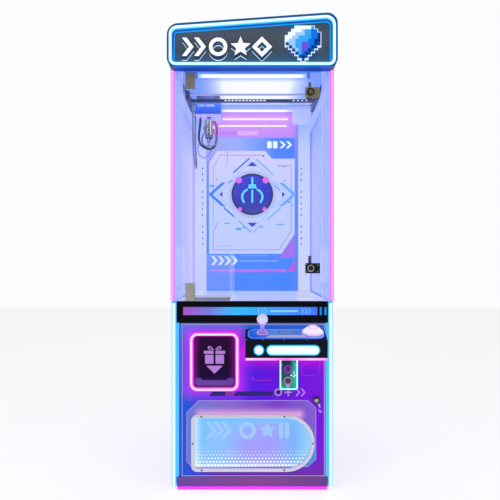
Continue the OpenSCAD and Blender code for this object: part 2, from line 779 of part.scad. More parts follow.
// Sprung button that returns a stuck coin
module coin_reject_button() color("plum")
    difference() {
        rod_y(coin_x - 3, front_y - 13, front_y + 8, reject_z, 13);
        block(coin_x - 5, coin_x - 1, front_y - 14, front_y - 8, reject_z - 10, reject_z + 10);
    }

// ---- console ---------------------------------------------------------------------------

console_outside = [
    [front_y, console_low], [console_front, console_low],
    [console_front, console_back_z - console_fall], [front_y, console_back_z]
];
console_inside = [
    [front_y + 1, console_low + console_wall],
    [console_front + console_wall, console_low + console_wall],
    [console_front + console_wall, console_back_z - console_fall - console_wall + 0.8],
    [front_y + 1, console_back_z - console_wall + 0.2]
];

// Shell of the console, open at the back, with the joystick's bracket ears
module console_housing() color("black") {
    difference() {
        along_x(console_left, console_right) polygon(console_outside);
        along_x(console_left + console_wall, console_right - console_wall) polygon(console_inside);
        on_console() {
            rod_z(stick_x, control_y, -10, 5, stick_hole_r + 2);
            rod_z(start_x, control_y, -10, 5, 12);
        }
    }
    on_console() for (x = [-1, 1]) difference() {
        block(stick_x + x * 27 - 2.5, stick_x + x * 27 + 2.5, control_y - 8, control_y + 8, stick_pivot - 7, -console_wall + 0.5);
        rod_x(stick_x + x * 27 - 4, stick_x + x * 27 + 4, control_y, stick_pivot, 3 + fit);
    }
}

// Glossy inlay on the console's top, with the joystick's ring and the start button's bezel
module console_panel() color("cornflowerblue")
    on_console() difference() {
        union() {
            translate([0, 0, 0.1]) linear_extrude(2.9)
                polygon(round_rect(-19, 280, -94, -7, 30));
            rod_z(stick_x, control_y, 2, 6, 21.5);
            rod_z(start_x, control_y, 2, 9, dome_d / 2 + 4);
            block(101, 175, -50, -38, 2, 4.5);
        }
        rod_z(stick_x, control_y, -1, 10, stick_hole_r);
        rod_z(start_x, control_y, 4, 10, dome_d / 2 + 0.6);
        rod_z(start_x, control_y, -1, 10, 12);
    }

// Round lens and long lens on the console's front, and the glow strip under it
module console_lights() color("white") {
    rod_y(25, console_front - 3, console_front - 0.1, 580, 18);
    upright(console_front - 3, 2.9) polygon(round_rect(55, 255, 562, 598, 17.9));
    block(console_left + 2, console_right - 2, console_front + 2, console_front + 12, console_low - 9, console_low - 0.2);
}

// Ring that lets the stick tilt two ways
module joystick_gimbal() color("dimgray")
    on_console() translate([stick_x, control_y, stick_pivot]) difference() {
        union() {
            block(-20, 20, -15, 15, -5, 5);
            rod_x(-29.5, 29.5, 0, 0, 3);
        }
        block(-14, 14, -10.5, 10.5, -6, 6);
        rod_y(0, -20, 20, 0, 2.5 + fit);
    }

// Stick with its ball, its hub and the cross pin that it tilts on
module joystick() color("plum")
    on_console() translate([stick_x, control_y, stick_pivot]) {
        rod_z(0, 0, -7, ball_rise - stick_pivot - ball_d / 2 + 4, stick_shaft_r);
        translate([0, 0, ball_rise - stick_pivot]) sphere(d = ball_d);
        rod_y(0, -14.5, 14.5, 0, 2.5);
    }

// Domed button on a stem
module start_button() color("white")
    on_console() translate([start_x, control_y, 0]) {
        cap_h = 22;
        dome_r = ((dome_d / 2) ^ 2 + cap_h ^ 2) / (2 * cap_h);
        intersection() {
            translate([0, 0, 11 + cap_h - dome_r]) sphere(r = dome_r);
            rod_z(0, 0, 10.5, 60, dome_d / 2);
        }
        rod_z(0, 0, 4 + button_travel + 0.4, 11, dome_d / 2);
        rod_z(0, 0, -24, 9, 11);
    }

base_pan();
levelling_feet();
side_panels();
back_panel();
fascia_band();
deck();
prize_chute();
prize_guard();
cabin_posts();
side_glass();
rear_graphic();
roof_pan();
ceiling_panel();
front_light_tube();
cabin_edge_lights();
lower_edge_lights();
base_light_strip();
marquee_housing();
marquee_face();
marquee_neon();
marquee_figures();
gantry_rails();
motor_box();
electronics_tray();
mains_inlet();
cash_bin();
bridge_frame();
bridge_drive_axle();
bridge_idler_axle();
carriage_frame();
carriage_cover();
carriage_drive_axle();
carriage_idler_axle();
hoist_drum();
hoist_cord();
gantry_cable();
claw_cable();
claw_body();
claw_plunger();
claw_finger_front();
claw_finger_right();
claw_finger_left();
glass_door();
glass_door_fittings();
upper_latch();
lower_latch();
service_door();
window_trim();
window_pane();
service_lock();
prize_neon();
prize_flap();
coin_plate();
coin_reject_button();
console_housing();
console_panel();
console_lights();
joystick_gimbal();
joystick();
start_button();
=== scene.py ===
import math

import bpy
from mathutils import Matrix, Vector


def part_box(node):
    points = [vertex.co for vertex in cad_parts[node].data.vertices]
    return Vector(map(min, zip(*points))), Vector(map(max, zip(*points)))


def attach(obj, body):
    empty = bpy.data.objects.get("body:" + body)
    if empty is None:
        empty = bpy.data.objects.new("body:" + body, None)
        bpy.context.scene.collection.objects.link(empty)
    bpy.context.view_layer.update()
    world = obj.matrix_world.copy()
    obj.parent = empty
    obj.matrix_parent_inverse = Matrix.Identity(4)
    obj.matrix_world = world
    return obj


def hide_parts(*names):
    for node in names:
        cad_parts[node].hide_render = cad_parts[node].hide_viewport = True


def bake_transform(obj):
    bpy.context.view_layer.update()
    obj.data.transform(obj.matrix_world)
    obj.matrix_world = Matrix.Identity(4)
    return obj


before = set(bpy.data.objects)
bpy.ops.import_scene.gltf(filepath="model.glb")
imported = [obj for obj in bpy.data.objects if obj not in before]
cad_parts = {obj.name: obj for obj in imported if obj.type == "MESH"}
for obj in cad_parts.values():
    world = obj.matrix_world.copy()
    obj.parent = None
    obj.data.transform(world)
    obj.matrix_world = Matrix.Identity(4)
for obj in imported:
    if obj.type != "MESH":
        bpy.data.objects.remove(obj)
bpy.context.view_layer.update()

# ---- Camera ------------------------------------------------------------------------------
# A level camera at chest height, straight in front of the machine and close to it,
# so the cabin is seen in strong perspective.
lens = bpy.data.cameras.new("front_camera")
lens.lens = 33.3
lens.sensor_width = 36
lens.shift_x = -0.0046
lens.shift_y = 0.022
camera = bpy.data.objects.new("front_camera", lens)
camera.location = (0, -2.13, 0.918)
camera.rotation_euler = (math.radians(90), 0, 0)
bpy.context.scene.collection.objects.link(camera)
bpy.context.scene.camera = camera
bpy.context.scene.view_settings.view_transform = "Standard"

# ---- Studio ------------------------------------------------------------------------------
# A plain pale floor in a white room. The room looks white, and lights the machine softly
# from all round, and two large soft lamps stand in front of it.
sky = bpy.data.worlds.new("white_room")
sky.use_nodes = True
room = sky.node_tree.nodes["Background"]
room.inputs["Color"].default_value = (0.97, 0.98, 1.0, 1)
seen = sky.node_tree.nodes.new("ShaderNodeLightPath")
level = sky.node_tree.nodes.new("ShaderNodeMapRange")
level.inputs["To Min"].default_value = 0.28
level.inputs["To Max"].default_value = 1.0
sky.node_tree.links.new(seen.outputs["Is Camera Ray"], level.inputs["Value"])
sky.node_tree.links.new(level.outputs[0], room.inputs["Strength"])
bpy.context.scene.world = sky


def soft_lamp(name, place, aim, width, watts):
    lamp = bpy.data.lights.new(name, "AREA")
    lamp.shape = "SQUARE"
    lamp.size = width
    lamp.energy = watts
    holder = bpy.data.objects.new(name, lamp)
    holder.location = place
    way = [b - a for a, b in zip(place, aim)]
    flat = math.hypot(way[0], way[1])
    holder.rotation_euler = (math.atan2(flat, -way[2]), 0, math.atan2(-way[0], way[1]))
    bpy.context.scene.collection.objects.link(holder)


soft_lamp("left_lamp", (-2.4, -2.6, 2.6), (0, 0, 0.9), 1.6, 14)
soft_lamp("right_lamp", (2.6, -2.2, 2.2), (0, 0, 0.9), 1.6, 9)


def new_material(name):
    material = bpy.data.materials.new(name)
    material.use_nodes = True
    tree = material.node_tree
    shader = tree.nodes["Principled BSDF"]
    place = tree.nodes.new("ShaderNodeTexCoord").outputs["Object"]
    return material, tree, shader, place


def math_node(tree, operation, first, second=None, clamp=False):
    node = tree.nodes.new("ShaderNodeMath")
    node.operation = operation
    node.use_clamp = clamp
    for socket, value in zip(node.inputs, (first, second)):
        if value is None:
            continue
        if isinstance(value, (int, float)):
            socket.default_value = value
        else:
            tree.links.new(value, socket)
    return node.outputs[0]


def times(tree, first, second, clamp=False):
    return math_node(tree, "MULTIPLY", first, second, clamp)


def mix_colours(tree, share, first, second, blend="MIX"):
    node = tree.nodes.new("ShaderNodeMix")
    node.data_type = "RGBA"
    node.blend_type = blend
    for socket, value in ((node.inputs[0], share), (node.inputs[6], first), (node.inputs[7], second)):
        if isinstance(value, (int, float)):
            socket.default_value = value
        elif isinstance(value, tuple):
            socket.default_value = (*value, 1)
        else:
            tree.links.new(value, socket)
    return node.outputs[2]


def noise(tree, place, scale, detail=2.0, output="Fac"):
    node = tree.nodes.new("ShaderNodeTexNoise")
    node.inputs["Scale"].default_value = scale
    node.inputs["Detail"].default_value = detail
    tree.links.new(place, node.inputs["Vector"])
    return node.outputs[output]


def group_with(name, inputs, outputs):
    """An empty node group with these sockets, and its first and last nodes."""
    group = bpy.data.node_groups.new(name, "ShaderNodeTree")
    for label, kind, value in inputs:
        socket = group.interface.new_socket(label, in_out="INPUT", socket_type=kind)
        if value is not None:
            socket.default_value = value
    for label, kind in outputs:
        group.interface.new_socket(label, in_out="OUTPUT", socket_type=kind)
    return group, group.nodes.new("NodeGroupInput"), group.nodes.new("NodeGroupOutput")


# Handling wear: edges rubbed paler in patches, a slow drift of tone, fine grain and smears that dull the
# sheen
wear, wear_in, wear_out = group_with(
    "handling_wear",
    [
        ("Place", "NodeSocketVector", None),
        ("Colour", "NodeSocketColor", (0.5, 0.5, 0.5, 1)),
        ("Rubbed Colour", "NodeSocketColor", (0.8, 0.8, 0.8, 1)),
        ("Rubbing", "NodeSocketFloat", 0.5),
        ("Drift", "NodeSocketFloat", 0.1),
        ("Grain Size", "NodeSocketFloat", 900.0),
        ("Roughness", "NodeSocketFloat", 0.4),
    ],
    [("Colour", "NodeSocketColor"), ("Roughness", "NodeSocketFloat"), ("Height", "NodeSocketFloat")],
)
edge = wear.nodes.new("ShaderNodeBevel")
edge.samples = 3
edge.inputs["Radius"].default_value = 0.0016
facing = wear.nodes.new("ShaderNodeNewGeometry")
agreement = wear.nodes.new("ShaderNodeVectorMath")
agreement.operation = "DOT_PRODUCT"
wear.links.new(edge.outputs[0], agreement.inputs[0])
wear.links.new(facing.outputs["Normal"], agreement.inputs[1])
near_edge = times(wear, math_node(wear, "SUBTRACT", 1.0, agreement.outputs["Value"]), 7.0, True)
patches = noise(wear, wear_in.outputs["Place"], 38.0, 6.0)
patchy = times(wear, math_node(wear, "SUBTRACT", patches, 0.42), 6.0, True)
rubbed = times(wear, times(wear, near_edge, patchy), wear_in.outputs["Rubbing"])
slow = noise(wear, wear_in.outputs["Place"], 5.0, 3.0)
swing = times(wear, math_node(wear, "SUBTRACT", slow, 0.5), wear_in.outputs["Drift"])
tone = wear.nodes.new("ShaderNodeHueSaturation")
wear.links.new(wear_in.outputs["Colour"], tone.inputs["Color"])
wear.links.new(math_node(wear, "ADD", 1.0, times(wear, swing, 2.0)), tone.inputs["Value"])
worn = mix_colours(wear, rubbed, tone.outputs[0], wear_in.outputs["Rubbed Colour"])
grain = wear.nodes.new("ShaderNodeTexNoise")
grain.inputs["Detail"].default_value = 2.0
wear.links.new(wear_in.outputs["Place"], grain.inputs["Vector"])
wear.links.new(wear_in.outputs["Grain Size"], grain.inputs["Scale"])
smear = noise(wear, wear_in.outputs["Place"], 14.0, 5.0)
dulled = math_node(
    wear, "ADD", wear_in.outputs["Roughness"], times(wear, math_node(wear, "SUBTRACT", smear, 0.5), 0.22))
dulled = math_node(wear, "ADD", dulled, times(wear, rubbed, 0.2), True)
wear.links.new(worn, wear_out.inputs["Colour"])
wear.links.new(dulled, wear_out.inputs["Roughness"])
wear.links.new(grain.outputs["Fac"], wear_out.inputs["Height"])


def worn_surface(
    name, colour, rough, metal=0.0, rubbed=None, rubbing=0.35, drift=0.12, grain=900.0, depth=0.05,
    gloss=0.5):
    """A finish with rubbed edges, grain and uneven sheen. Colour is plain or a function that draws it."""
    material, tree, shader, place = new_material(name)
    node = tree.nodes.new("ShaderNodeGroup")
    node.node_tree = wear
    tree.links.new(place, node.inputs["Place"])
    if callable(colour):
        tree.links.new(colour(tree, place), node.inputs["Colour"])
        middle = (0.8, 0.8, 0.9)
    else:
        node.inputs["Colour"].default_value = (*colour, 1)
        middle = tuple(min(1.0, c * 1.5 + 0.08) for c in colour)
    node.inputs["Rubbed Colour"].default_value = (*(rubbed or middle), 1)
    node.inputs["Rubbing"].default_value = rubbing
    node.inputs["Drift"].default_value = drift
    node.inputs["Grain Size"].default_value = grain
    node.inputs["Roughness"].default_value = rough
    bump = tree.nodes.new("ShaderNodeBump")
    bump.inputs["Strength"].default_value = depth
    bump.inputs["Distance"].default_value = 0.0005
    tree.links.new(node.outputs["Height"], bump.inputs["Height"])
    tree.links.new(node.outputs["Colour"], shader.inputs["Base Color"])
    tree.links.new(node.outputs["Roughness"], shader.inputs["Roughness"])
    tree.links.new(bump.outputs[0], shader.inputs["Normal"])
    shader.inputs["Metallic"].default_value = metal
    shader.inputs["Specular IOR Level"].default_value = gloss
    return material


def glow(material, colour, strength):
    """Lights a finish by its own colour nodes or by a plain colour."""
    shader = material.node_tree.nodes["Principled BSDF"]
    if isinstance(colour, tuple):
        shader.inputs["Emission Color"].default_value = (*colour, 1)
    else:
        material.node_tree.links.new(colour, shader.inputs["Emission Color"])
    shader.inputs["Emission Strength"].default_value = strength


bpy.ops.object.select_all(action="DESELECT")
bpy.ops.mesh.primitive_plane_add(size=14, location=(0, 0, 0))
floor = bpy.context.object
floor.name = "studio_floor"
floor.data.materials.append(
    worn_surface("pale_floor", (0.92, 0.92, 0.93), 0.55, rubbing=0.0, drift=0.02, depth=0.01))
glow(floor.data.materials[0], (1.0, 1.0, 1.0), 0.66)

# ---- Base pan, feet and bin --------------------------------------------------------------
# The floor tray and kick board are folded steel in violet powder coat, the feet are black
# rubber on zinc stems, and the coin bin is moulded in grey.


def banded(axis, low, high, stops):
    """A colour rule that runs along one axis of the machine."""
    return lambda tree, place: shaded(tree, place, axis, low, high, stops)


def axis_of(tree, place, axis):
    node = tree.nodes.new("ShaderNodeSeparateXYZ")
    tree.links.new(place, node.inputs[0])
    return node.outputs[axis]


def graded(tree, value, low, high, stops):
    """A colour that runs through stops of (share, colour) as a value goes from low to high."""
    span = tree.nodes.new("ShaderNodeMapRange")
    span.inputs["From Min"].default_value = low
    span.inputs["From Max"].default_value = high
    tree.links.new(value, span.inputs["Value"])
    ramp = tree.nodes.new("ShaderNodeValToRGB")
    tree.links.new(span.outputs[0], ramp.inputs[0])
    marks = ramp.color_ramp.elements
    while len(marks) < len(stops):
        marks.new(0.5)
    for mark, (share, colour) in zip(marks, stops):
        mark.position = share
        mark.color = (*colour, 1)
    return ramp.outputs[0]


def shaded(tree, place, axis, low, high, stops):
    """Such a colour along one axis of the machine."""
    return graded(tree, axis_of(tree, place, axis), low, high, stops)


def coat(node, material):
    """Gives a CAD node this finish all over."""
    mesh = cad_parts[node].data
    mesh.materials.clear()
    mesh.materials.append(material)


coat("base_pan", worn_surface(
    "violet_powder_coat",
    banded("X", -0.3, 0.3, [(0.0, (0.16, 0.05, 0.42)), (0.5, (0.3, 0.05, 0.36)), (1.0, (0.18, 0.03, 0.3))]),
    0.42, rubbed=(0.55, 0.42, 0.75), rubbing=0.6, drift=0.2, grain=1400.0, depth=0.25,
))
coat("levelling_feet", worn_surface(
    "foot_rubber_and_zinc",
    banded("Z", 0.011, 0.013, [(0.0, (0.02, 0.02, 0.022)), (1.0, (0.45, 0.45, 0.47))]),
    0.6, rubbed=(0.3, 0.3, 0.3), rubbing=0.4, grain=700.0, depth=0.3,
))
coat(
    "cash_bin",
    worn_surface("bin_grey_moulding", (0.23, 0.24, 0.27), 0.5, rubbing=0.5, grain=500.0, depth=0.2))
coat(
    "electronics_tray",
    worn_surface(
        "zinc_tray", (0.5, 0.52, 0.55), 0.35, metal=0.9, rubbed=(0.75, 0.75, 0.78), drift=0.3, grain=300.0)
)
coat(
    "mains_inlet",
    worn_surface("black_inlet_moulding", (0.025, 0.025, 0.028), 0.45, rubbed=(0.2, 0.2, 0.2), grain=1100.0))

# ---- Side boards and back sheet ----------------------------------------------------------
# The side boards are laminated with a printed film that fades from blue to violet, with
# paler diagonal bands. The back sheet is lilac powder coat over steel.


def side_print(tree, place):
    upward = shaded(tree, place, "Z", 0.02, 0.757, [
        (0.0, (0.13, 0.03, 0.4)), (0.45, (0.16, 0.05, 0.62)), (0.8, (0.05, 0.16, 0.75)),
        (1.0, (0.01, 0.05, 0.3)),
    ])
    slant = math_node(tree, "ADD", axis_of(tree, place, "Y"), axis_of(tree, place, "Z"))
    wave = math_node(tree, "FRACT", times(tree, slant, 2.6))
    band = math_node(
        tree, "LESS_THAN", math_node(tree, "ABSOLUTE", math_node(tree, "SUBTRACT", wave, 0.5)), 0.13)
    thin = math_node(
        tree, "LESS_THAN", math_node(tree, "ABSOLUTE", math_node(tree, "SUBTRACT", wave, 0.72)), 0.018)
    upward = mix_colours(tree, times(tree, band, 0.35), upward, (0.55, 0.12, 0.85))
    upward = mix_colours(tree, times(tree, thin, 0.8), upward, (0.25, 0.75, 1.0))
    return mix_colours(tree, tube_glow_edge(tree, place), upward, (0.04, 0.38, 0.95))


def tube_glow_edge(tree, place):
    """A mask of the boards' front edges, where the corner tubes' light is painted on as a blue glow."""
    return math_node(tree, "LESS_THAN", axis_of(tree, place, "Y"), -0.2605)


# The front edges get a painted blue glow in place of the corner tubes' light.
side_finish = worn_surface(
    "printed_side_laminate", side_print, 0.25, rubbed=(0.7, 0.65, 0.85), rubbing=0.3, grain=1600.0,
    depth=0.08)
side_tree = side_finish.node_tree
side_place = side_tree.nodes["Texture Coordinate"].outputs["Object"]
glow(
    side_finish,
    mix_colours(side_tree, tube_glow_edge(side_tree, side_place), (0.0, 0.0, 0.0), (0.04, 0.38, 0.95)), 0.8)
coat("side_panels", side_finish)
coat(
    "back_panel",
    worn_surface(
        "lilac_back_sheet", (0.5, 0.5, 0.66), 0.45, rubbed=(0.75, 0.75, 0.85), rubbing=0.4, grain=1500.0,
        depth=0.3)
)

# ---- Lit tubes down the corners ----------------------------------------------------------
# Milky silicone tubes with a row of lamps inside. The crown that faces the player is
# bright white, and the sides that turn away keep the tube's own colour.


def tube_light(name, crown_y, radius, core, rim, strength, shade):
    """A lit tube: its light runs from the core colour at its crown to the rim colour at its flanks."""
    material, tree, shader, place = new_material(name)
    depth = math_node(tree, "SUBTRACT", axis_of(tree, place, "Y"), crown_y)
    lit = graded(tree, depth, 0.0, radius, [(0.0, core), (0.05, core), (0.24, rim), (1.0, shade)])
    lamps = noise(tree, place, 55.0, 2.0)
    lit = mix_colours(tree, times(tree, lamps, 0.14), lit, rim)
    tree.links.new(mix_colours(tree, 0.8, lit, (0.02, 0.0, 0.05)), shader.inputs["Base Color"])
    shader.inputs["Specular IOR Level"].default_value = 0.2
    haze = noise(tree, place, 260.0, 3.0)
    tree.links.new(math_node(tree, "ADD", 0.28, times(tree, haze, 0.2)), shader.inputs["Roughness"])
    bump = tree.nodes.new("ShaderNodeBump")
    bump.inputs["Strength"].default_value = 0.06
    bump.inputs["Distance"].default_value = 0.0004
    tree.links.new(haze, bump.inputs["Height"])
    tree.links.new(bump.outputs[0], shader.inputs["Normal"])
    glow(material, lit, strength)
    return material


coat("cabin_edge_lights", tube_light(
    "magenta_edge_tube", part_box("cabin_edge_lights")[0][1], 0.008, (0.96, 0.38, 0.95), (0.94, 0.2, 0.93),
    0.95, (0.5, 0.08, 0.8)))
coat("lower_edge_lights", tube_light(
    "cyan_edge_tube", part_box("lower_edge_lights")[0][1], 0.01, (0.86, 0.97, 0.98), (0.16, 0.66, 0.97), 1.0,
    (0.0, 0.24, 0.9)))
coat("base_light_strip", tube_light(
    "magenta_floor_strip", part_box("base_light_strip")[0][1] - 0.002, 0.01, (0.95, 0.14, 0.97),
    (0.8, 0.01, 0.92), 1.3, (0.5, 0.0, 0.8)))

# ---- Fascia band -------------------------------------------------------------------------
# A gloss black band between the cabin and the service door. Its recess holds a lit acrylic
# bar that fades from plum to cyan to blue, and two short blue bars beside it.
coat(
    "fascia_band",
    worn_surface(
        "gloss_black_band", (0.002, 0.002, 0.005), 0.3, rubbed=(0.04, 0.04, 0.06), rubbing=0.3, drift=0.1,
        gloss=0.08)
)


def glowing_film(name, colour, strength, rough=0.25, grain=700.0):
    """A printed film that glows in its own ink: a lamp's light where one is behind it, and elsewhere a
    painted glow. Colour is plain or a function that draws it.
    """
    material, tree, shader, place = new_material(name)
    ink = colour(tree, place) if callable(colour) else None
    mottle = noise(tree, place, grain, 2.0)
    drift = noise(tree, place, 9.0, 3.0)
    if ink is None:
        plain = tuple(c * 0.86 for c in colour)
        ink = mix_colours(tree, drift, colour, plain)
    else:
        ink = mix_colours(tree, times(tree, drift, 0.08), ink, (0.7, 0.75, 1.0))
    tree.links.new(mix_colours(tree, 0.6, ink, (0.0, 0.0, 0.02)), shader.inputs["Base Color"])
    shader.inputs["Specular IOR Level"].default_value = 0.25
    tree.links.new(math_node(tree, "ADD", rough, times(tree, mottle, 0.15)), shader.inputs["Roughness"])
    bump = tree.nodes.new("ShaderNodeBump")
    bump.inputs["Strength"].default_value = 0.04
    bump.inputs["Distance"].default_value = 0.0003
    tree.links.new(mottle, bump.inputs["Height"])
    tree.links.new(bump.outputs[0], shader.inputs["Normal"])
    glow(material, ink, strength)
    return material


bar_light = glowing_film("graded_light_bar", banded("X", -0.278, 0.262, [
    (0.0, (0.34, 0.04, 0.5)), (0.2, (0.13, 0.15, 0.62)), (0.4, (0.0, 0.42, 0.84)),
    (0.62, (0.0, 0.33, 0.92)), (1.0, (0.01, 0.12, 0.93)),
]), 0.85)
fascia_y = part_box("fascia_band")[0][1]


def only(piece):
    """Makes this piece the only selected and active one."""
    bpy.ops.object.select_all(action="DESELECT")
    piece.select_set(True)
    bpy.context.view_layer.objects.active = piece


def flat_shape(name, outlines, front, thickness=0.0006, bevel=0.0):
    """A piece cut from sheet. Its outlines are in X and Z, in millimetres, and its front face is at Y."""
    curve = bpy.data.curves.new(name, "CURVE")
    curve.dimensions = "2D"
    curve.fill_mode = "BOTH"
    curve.extrude = thickness / 2
    for outline in outlines:
        spline = curve.splines.new("POLY")
        spline.points.add(len(outline) - 1)
        for point, (x, z) in zip(spline.points, outline):
            point.co = (x / 1000, z / 1000, 0, 1)
        spline.use_cyclic_u = True
    piece = bpy.data.objects.new(name, curve)
    bpy.context.scene.collection.objects.link(piece)
    piece.rotation_euler = (math.radians(90), 0, 0)
    piece.location = (0, front + thickness / 2, 0)
    only(piece)
    bpy.ops.object.convert(target="MESH")
    piece = bpy.context.view_layer.objects.active
    piece.name = name
    bpy.ops.object.transform_apply(location=True, rotation=True, scale=True)
    if bevel:
        round_edges(piece, bevel, 2)
    return piece


def round_edges(piece, width, segments=2, angle=35):
    """Bevels the sharp edges of a piece and smooths what is left."""
    only(piece)
    bpy.ops.object.mode_set(mode="EDIT")
    bpy.ops.mesh.select_all(action="SELECT")
    bpy.ops.mesh.remove_doubles(threshold=0.00001)
    bpy.ops.object.mode_set(mode="OBJECT")
    modifier = piece.modifiers.new("edges", "BEVEL")
    modifier.width = width
    modifier.segments = segments
    modifier.limit_method = "ANGLE"
    modifier.angle_limit = math.radians(angle)
    bpy.ops.object.modifier_apply(modifier="edges")
    bpy.ops.object.shade_smooth_by_angle(angle=math.radians(40))


def box(x0, x1, z0, z1):
    return [(x0, z0), (x1, z0), (x1, z1), (x0, z1)]


bar = flat_shape("fascia_light_bar", [box(-276.5, 260.5, 701.5, 733.5)], fascia_y + 0.0004, 0.0024, 0.0005)


def dress(piece, material, body):
    """Gives a new piece its finish, and its body when one is given."""
    piece.data.materials.clear()
    piece.data.materials.append(material)
    if body:
        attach(piece, body)


dress(bar, bar_light, "cabinet")
short_bars = flat_shape(
    "fascia_short_bars", [box(270, 278, 701.5, 733.5), box(289, 297, 701.5, 733.5)], fascia_y + 0.0004,
    0.0024, 0.0005)
dress(short_bars, glowing_film("short_bar_blue", (0.0, 0.28, 0.95), 0.8), "cabinet")
notches = [
    [(x, 706), (x + 3, 706), (x + 9, 717.5), (x + 3, 729), (x, 729), (x + 6, 717.5)]
    for x in (20, 34, 48, 196, 210, 224)
]
marks = flat_shape("fascia_arrow_marks", notches + [box(72, 182, 714, 721)], fascia_y, 0.0004)
dress(marks, glowing_film("pale_cyan_marks", (0.45, 0.85, 1.0), 0.55), "cabinet")

# ---- Service door board ------------------------------------------------------------------
# A board with a printed film: blue at the left and violet at the right, bluer along the top and darker plum
# at the foot. A pale trim strip edges it, and its inside is dark paint. Painted glows lie on its front:
# magenta under the console's strip, violet round the prize tube and pink along the window's top edge, and the
# film, its prints and the trim all carry a painted glow.
door_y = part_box("service_door")[0][1]

halo, halo_in, halo_out = group_with(
    "soft_halo",
    [
        ("X", "NodeSocketFloat", 0.0), ("Z", "NodeSocketFloat", 0.0),
        ("Middle X", "NodeSocketFloat", 0.0), ("Middle Z", "NodeSocketFloat", 0.0),
        ("Half Width", "NodeSocketFloat", 0.1), ("Half Height", "NodeSocketFloat", 0.1),
        ("Spread", "NodeSocketFloat", 0.05),
    ],
    [("Mask", "NodeSocketFloat")],
)
reach = []
for along, middle, half in (("X", "Middle X", "Half Width"), ("Z", "Middle Z", "Half Height")):
    offset = math_node(
        halo, "ABSOLUTE", math_node(halo, "SUBTRACT", halo_in.outputs[along], halo_in.outputs[middle]))
    outside = math_node(halo, "MAXIMUM", math_node(halo, "SUBTRACT", offset, halo_in.outputs[half]), 0.0)
    reach.append(math_node(halo, "POWER", outside, 2.0))
distance = math_node(halo, "SQRT", math_node(halo, "ADD", reach[0], reach[1]))
fade = math_node(
    halo, "SUBTRACT", 1.0, math_node(halo, "DIVIDE", distance, halo_in.outputs["Spread"]), True)
halo.links.new(math_node(halo, "POWER", fade, 2.0), halo_out.inputs["Mask"])


def halo_mask(tree, place, middle_x, middle_z, half_width, half_height, spread):
    node = tree.nodes.new("ShaderNodeGroup")
    node.node_tree = halo
    tree.links.new(axis_of(tree, place, "X"), node.inputs["X"])
    tree.links.new(axis_of(tree, place, "Z"), node.inputs["Z"])
    values = (middle_x, middle_z, half_width, half_height, spread)
    for label, value in zip(("Middle X", "Middle Z", "Half Width", "Half Height", "Spread"), values):
        node.inputs[label].default_value = value
    return node.outputs[0]


def door_print(tree, place):
    base = shaded(tree, place, "X", -0.29, 0.29, [
        (0.0, (0.002, 0.08, 0.56)), (0.28, (0.025, 0.02, 0.62)), (0.55, (0.09, 0.0, 0.62)),
        (1.0, (0.17, 0.0, 0.6)),
    ])
    top = halo_mask(tree, place, 0.0, 0.669, 0.3, 0.012, 0.11)
    base = mix_colours(tree, top, base, (0.006, 0.14, 0.66))
    foot = halo_mask(tree, place, 0.08, 0.056, 0.22, 0.02, 0.16)
    base = mix_colours(tree, times(tree, foot, 0.85), base, (0.13, 0.02, 0.26))
    # Painted light from nearby lamps: magenta under the console's strip, violet round the prize tube and pink
    # along the window's top edge.
    console_strip_glow = halo_mask(tree, place, 0.13, 0.548, 0.15, 0.004, 0.075)
    base = mix_colours(tree, console_strip_glow, base, (0.85, 0.0, 0.8))
    ring = halo_mask(tree, place, -0.1515, 0.516, 0.088, 0.106, 0.075)
    base = mix_colours(tree, times(tree, ring, 0.85), base, (0.6, 0.02, 0.85))
    window_sill_glow = halo_mask(tree, place, -0.03, 0.298, 0.18, 0.008, 0.022)
    base = mix_colours(tree, times(tree, window_sill_glow, 0.8), base, (0.85, 0.3, 0.95))
    wash = noise(tree, place, 7.0, 4.0)
    film = mix_colours(tree, times(tree, wash, 0.22), base, (0.03, 0.02, 0.4))
    inside = math_node(tree, "GREATER_THAN", axis_of(tree, place, "Y"), door_y + 0.003)
    return mix_colours(tree, inside, film, (0.04, 0.04, 0.055))


door_finish = worn_surface(
    "printed_door_film", door_print, 0.28, rubbed=(0.5, 0.4, 0.8), rubbing=0.15, grain=1500.0, depth=0.06,
    gloss=0.12)


def painted_self_glow(material, strength):
    """Gives a finish a painted glow in its own print's colours, though no lamp stands behind it."""
    shader = material.node_tree.nodes["Principled BSDF"]
    glow(material, shader.inputs["Base Color"].links[0].from_socket, strength)


painted_self_glow(door_finish, 0.55)
coat("service_door", door_finish)

trim_strips = [
    box(-284, 291.5, 663, 666), box(286.5, 289.5, 57.5, 663), box(-284, 291.5, 57.5, 60.5),
    box(-281.5, -279, 60.5, 663)]
trim = flat_shape("door_edge_trim", trim_strips, door_y - 0.0012, 0.0012, 0.0003)
dress(trim, glowing_film("pale_pink_trim", (0.72, 0.6, 0.86), 0.35), "door")


def line_loop(points, width):
    """The two outlines of a line of this width round a closed shape."""
    sides = ([], [])
    for i, (x, z) in enumerate(points):
        before, after = points[i - 1], points[(i + 1) % len(points)]
        a, b = (x - before[0], z - before[1]), (after[0] - x, after[1] - z)
        la, lb = math.hypot(*a), math.hypot(*b)
        m = (-a[1] / la - b[1] / lb, a[0] / la + b[0] / lb)
        scale = width / (m[0] * m[0] + m[1] * m[1])
        for side, sign in zip(sides, (1, -1)):
            side.append((x + sign * m[0] * scale, z + sign * m[1] * scale))
    return list(sides)


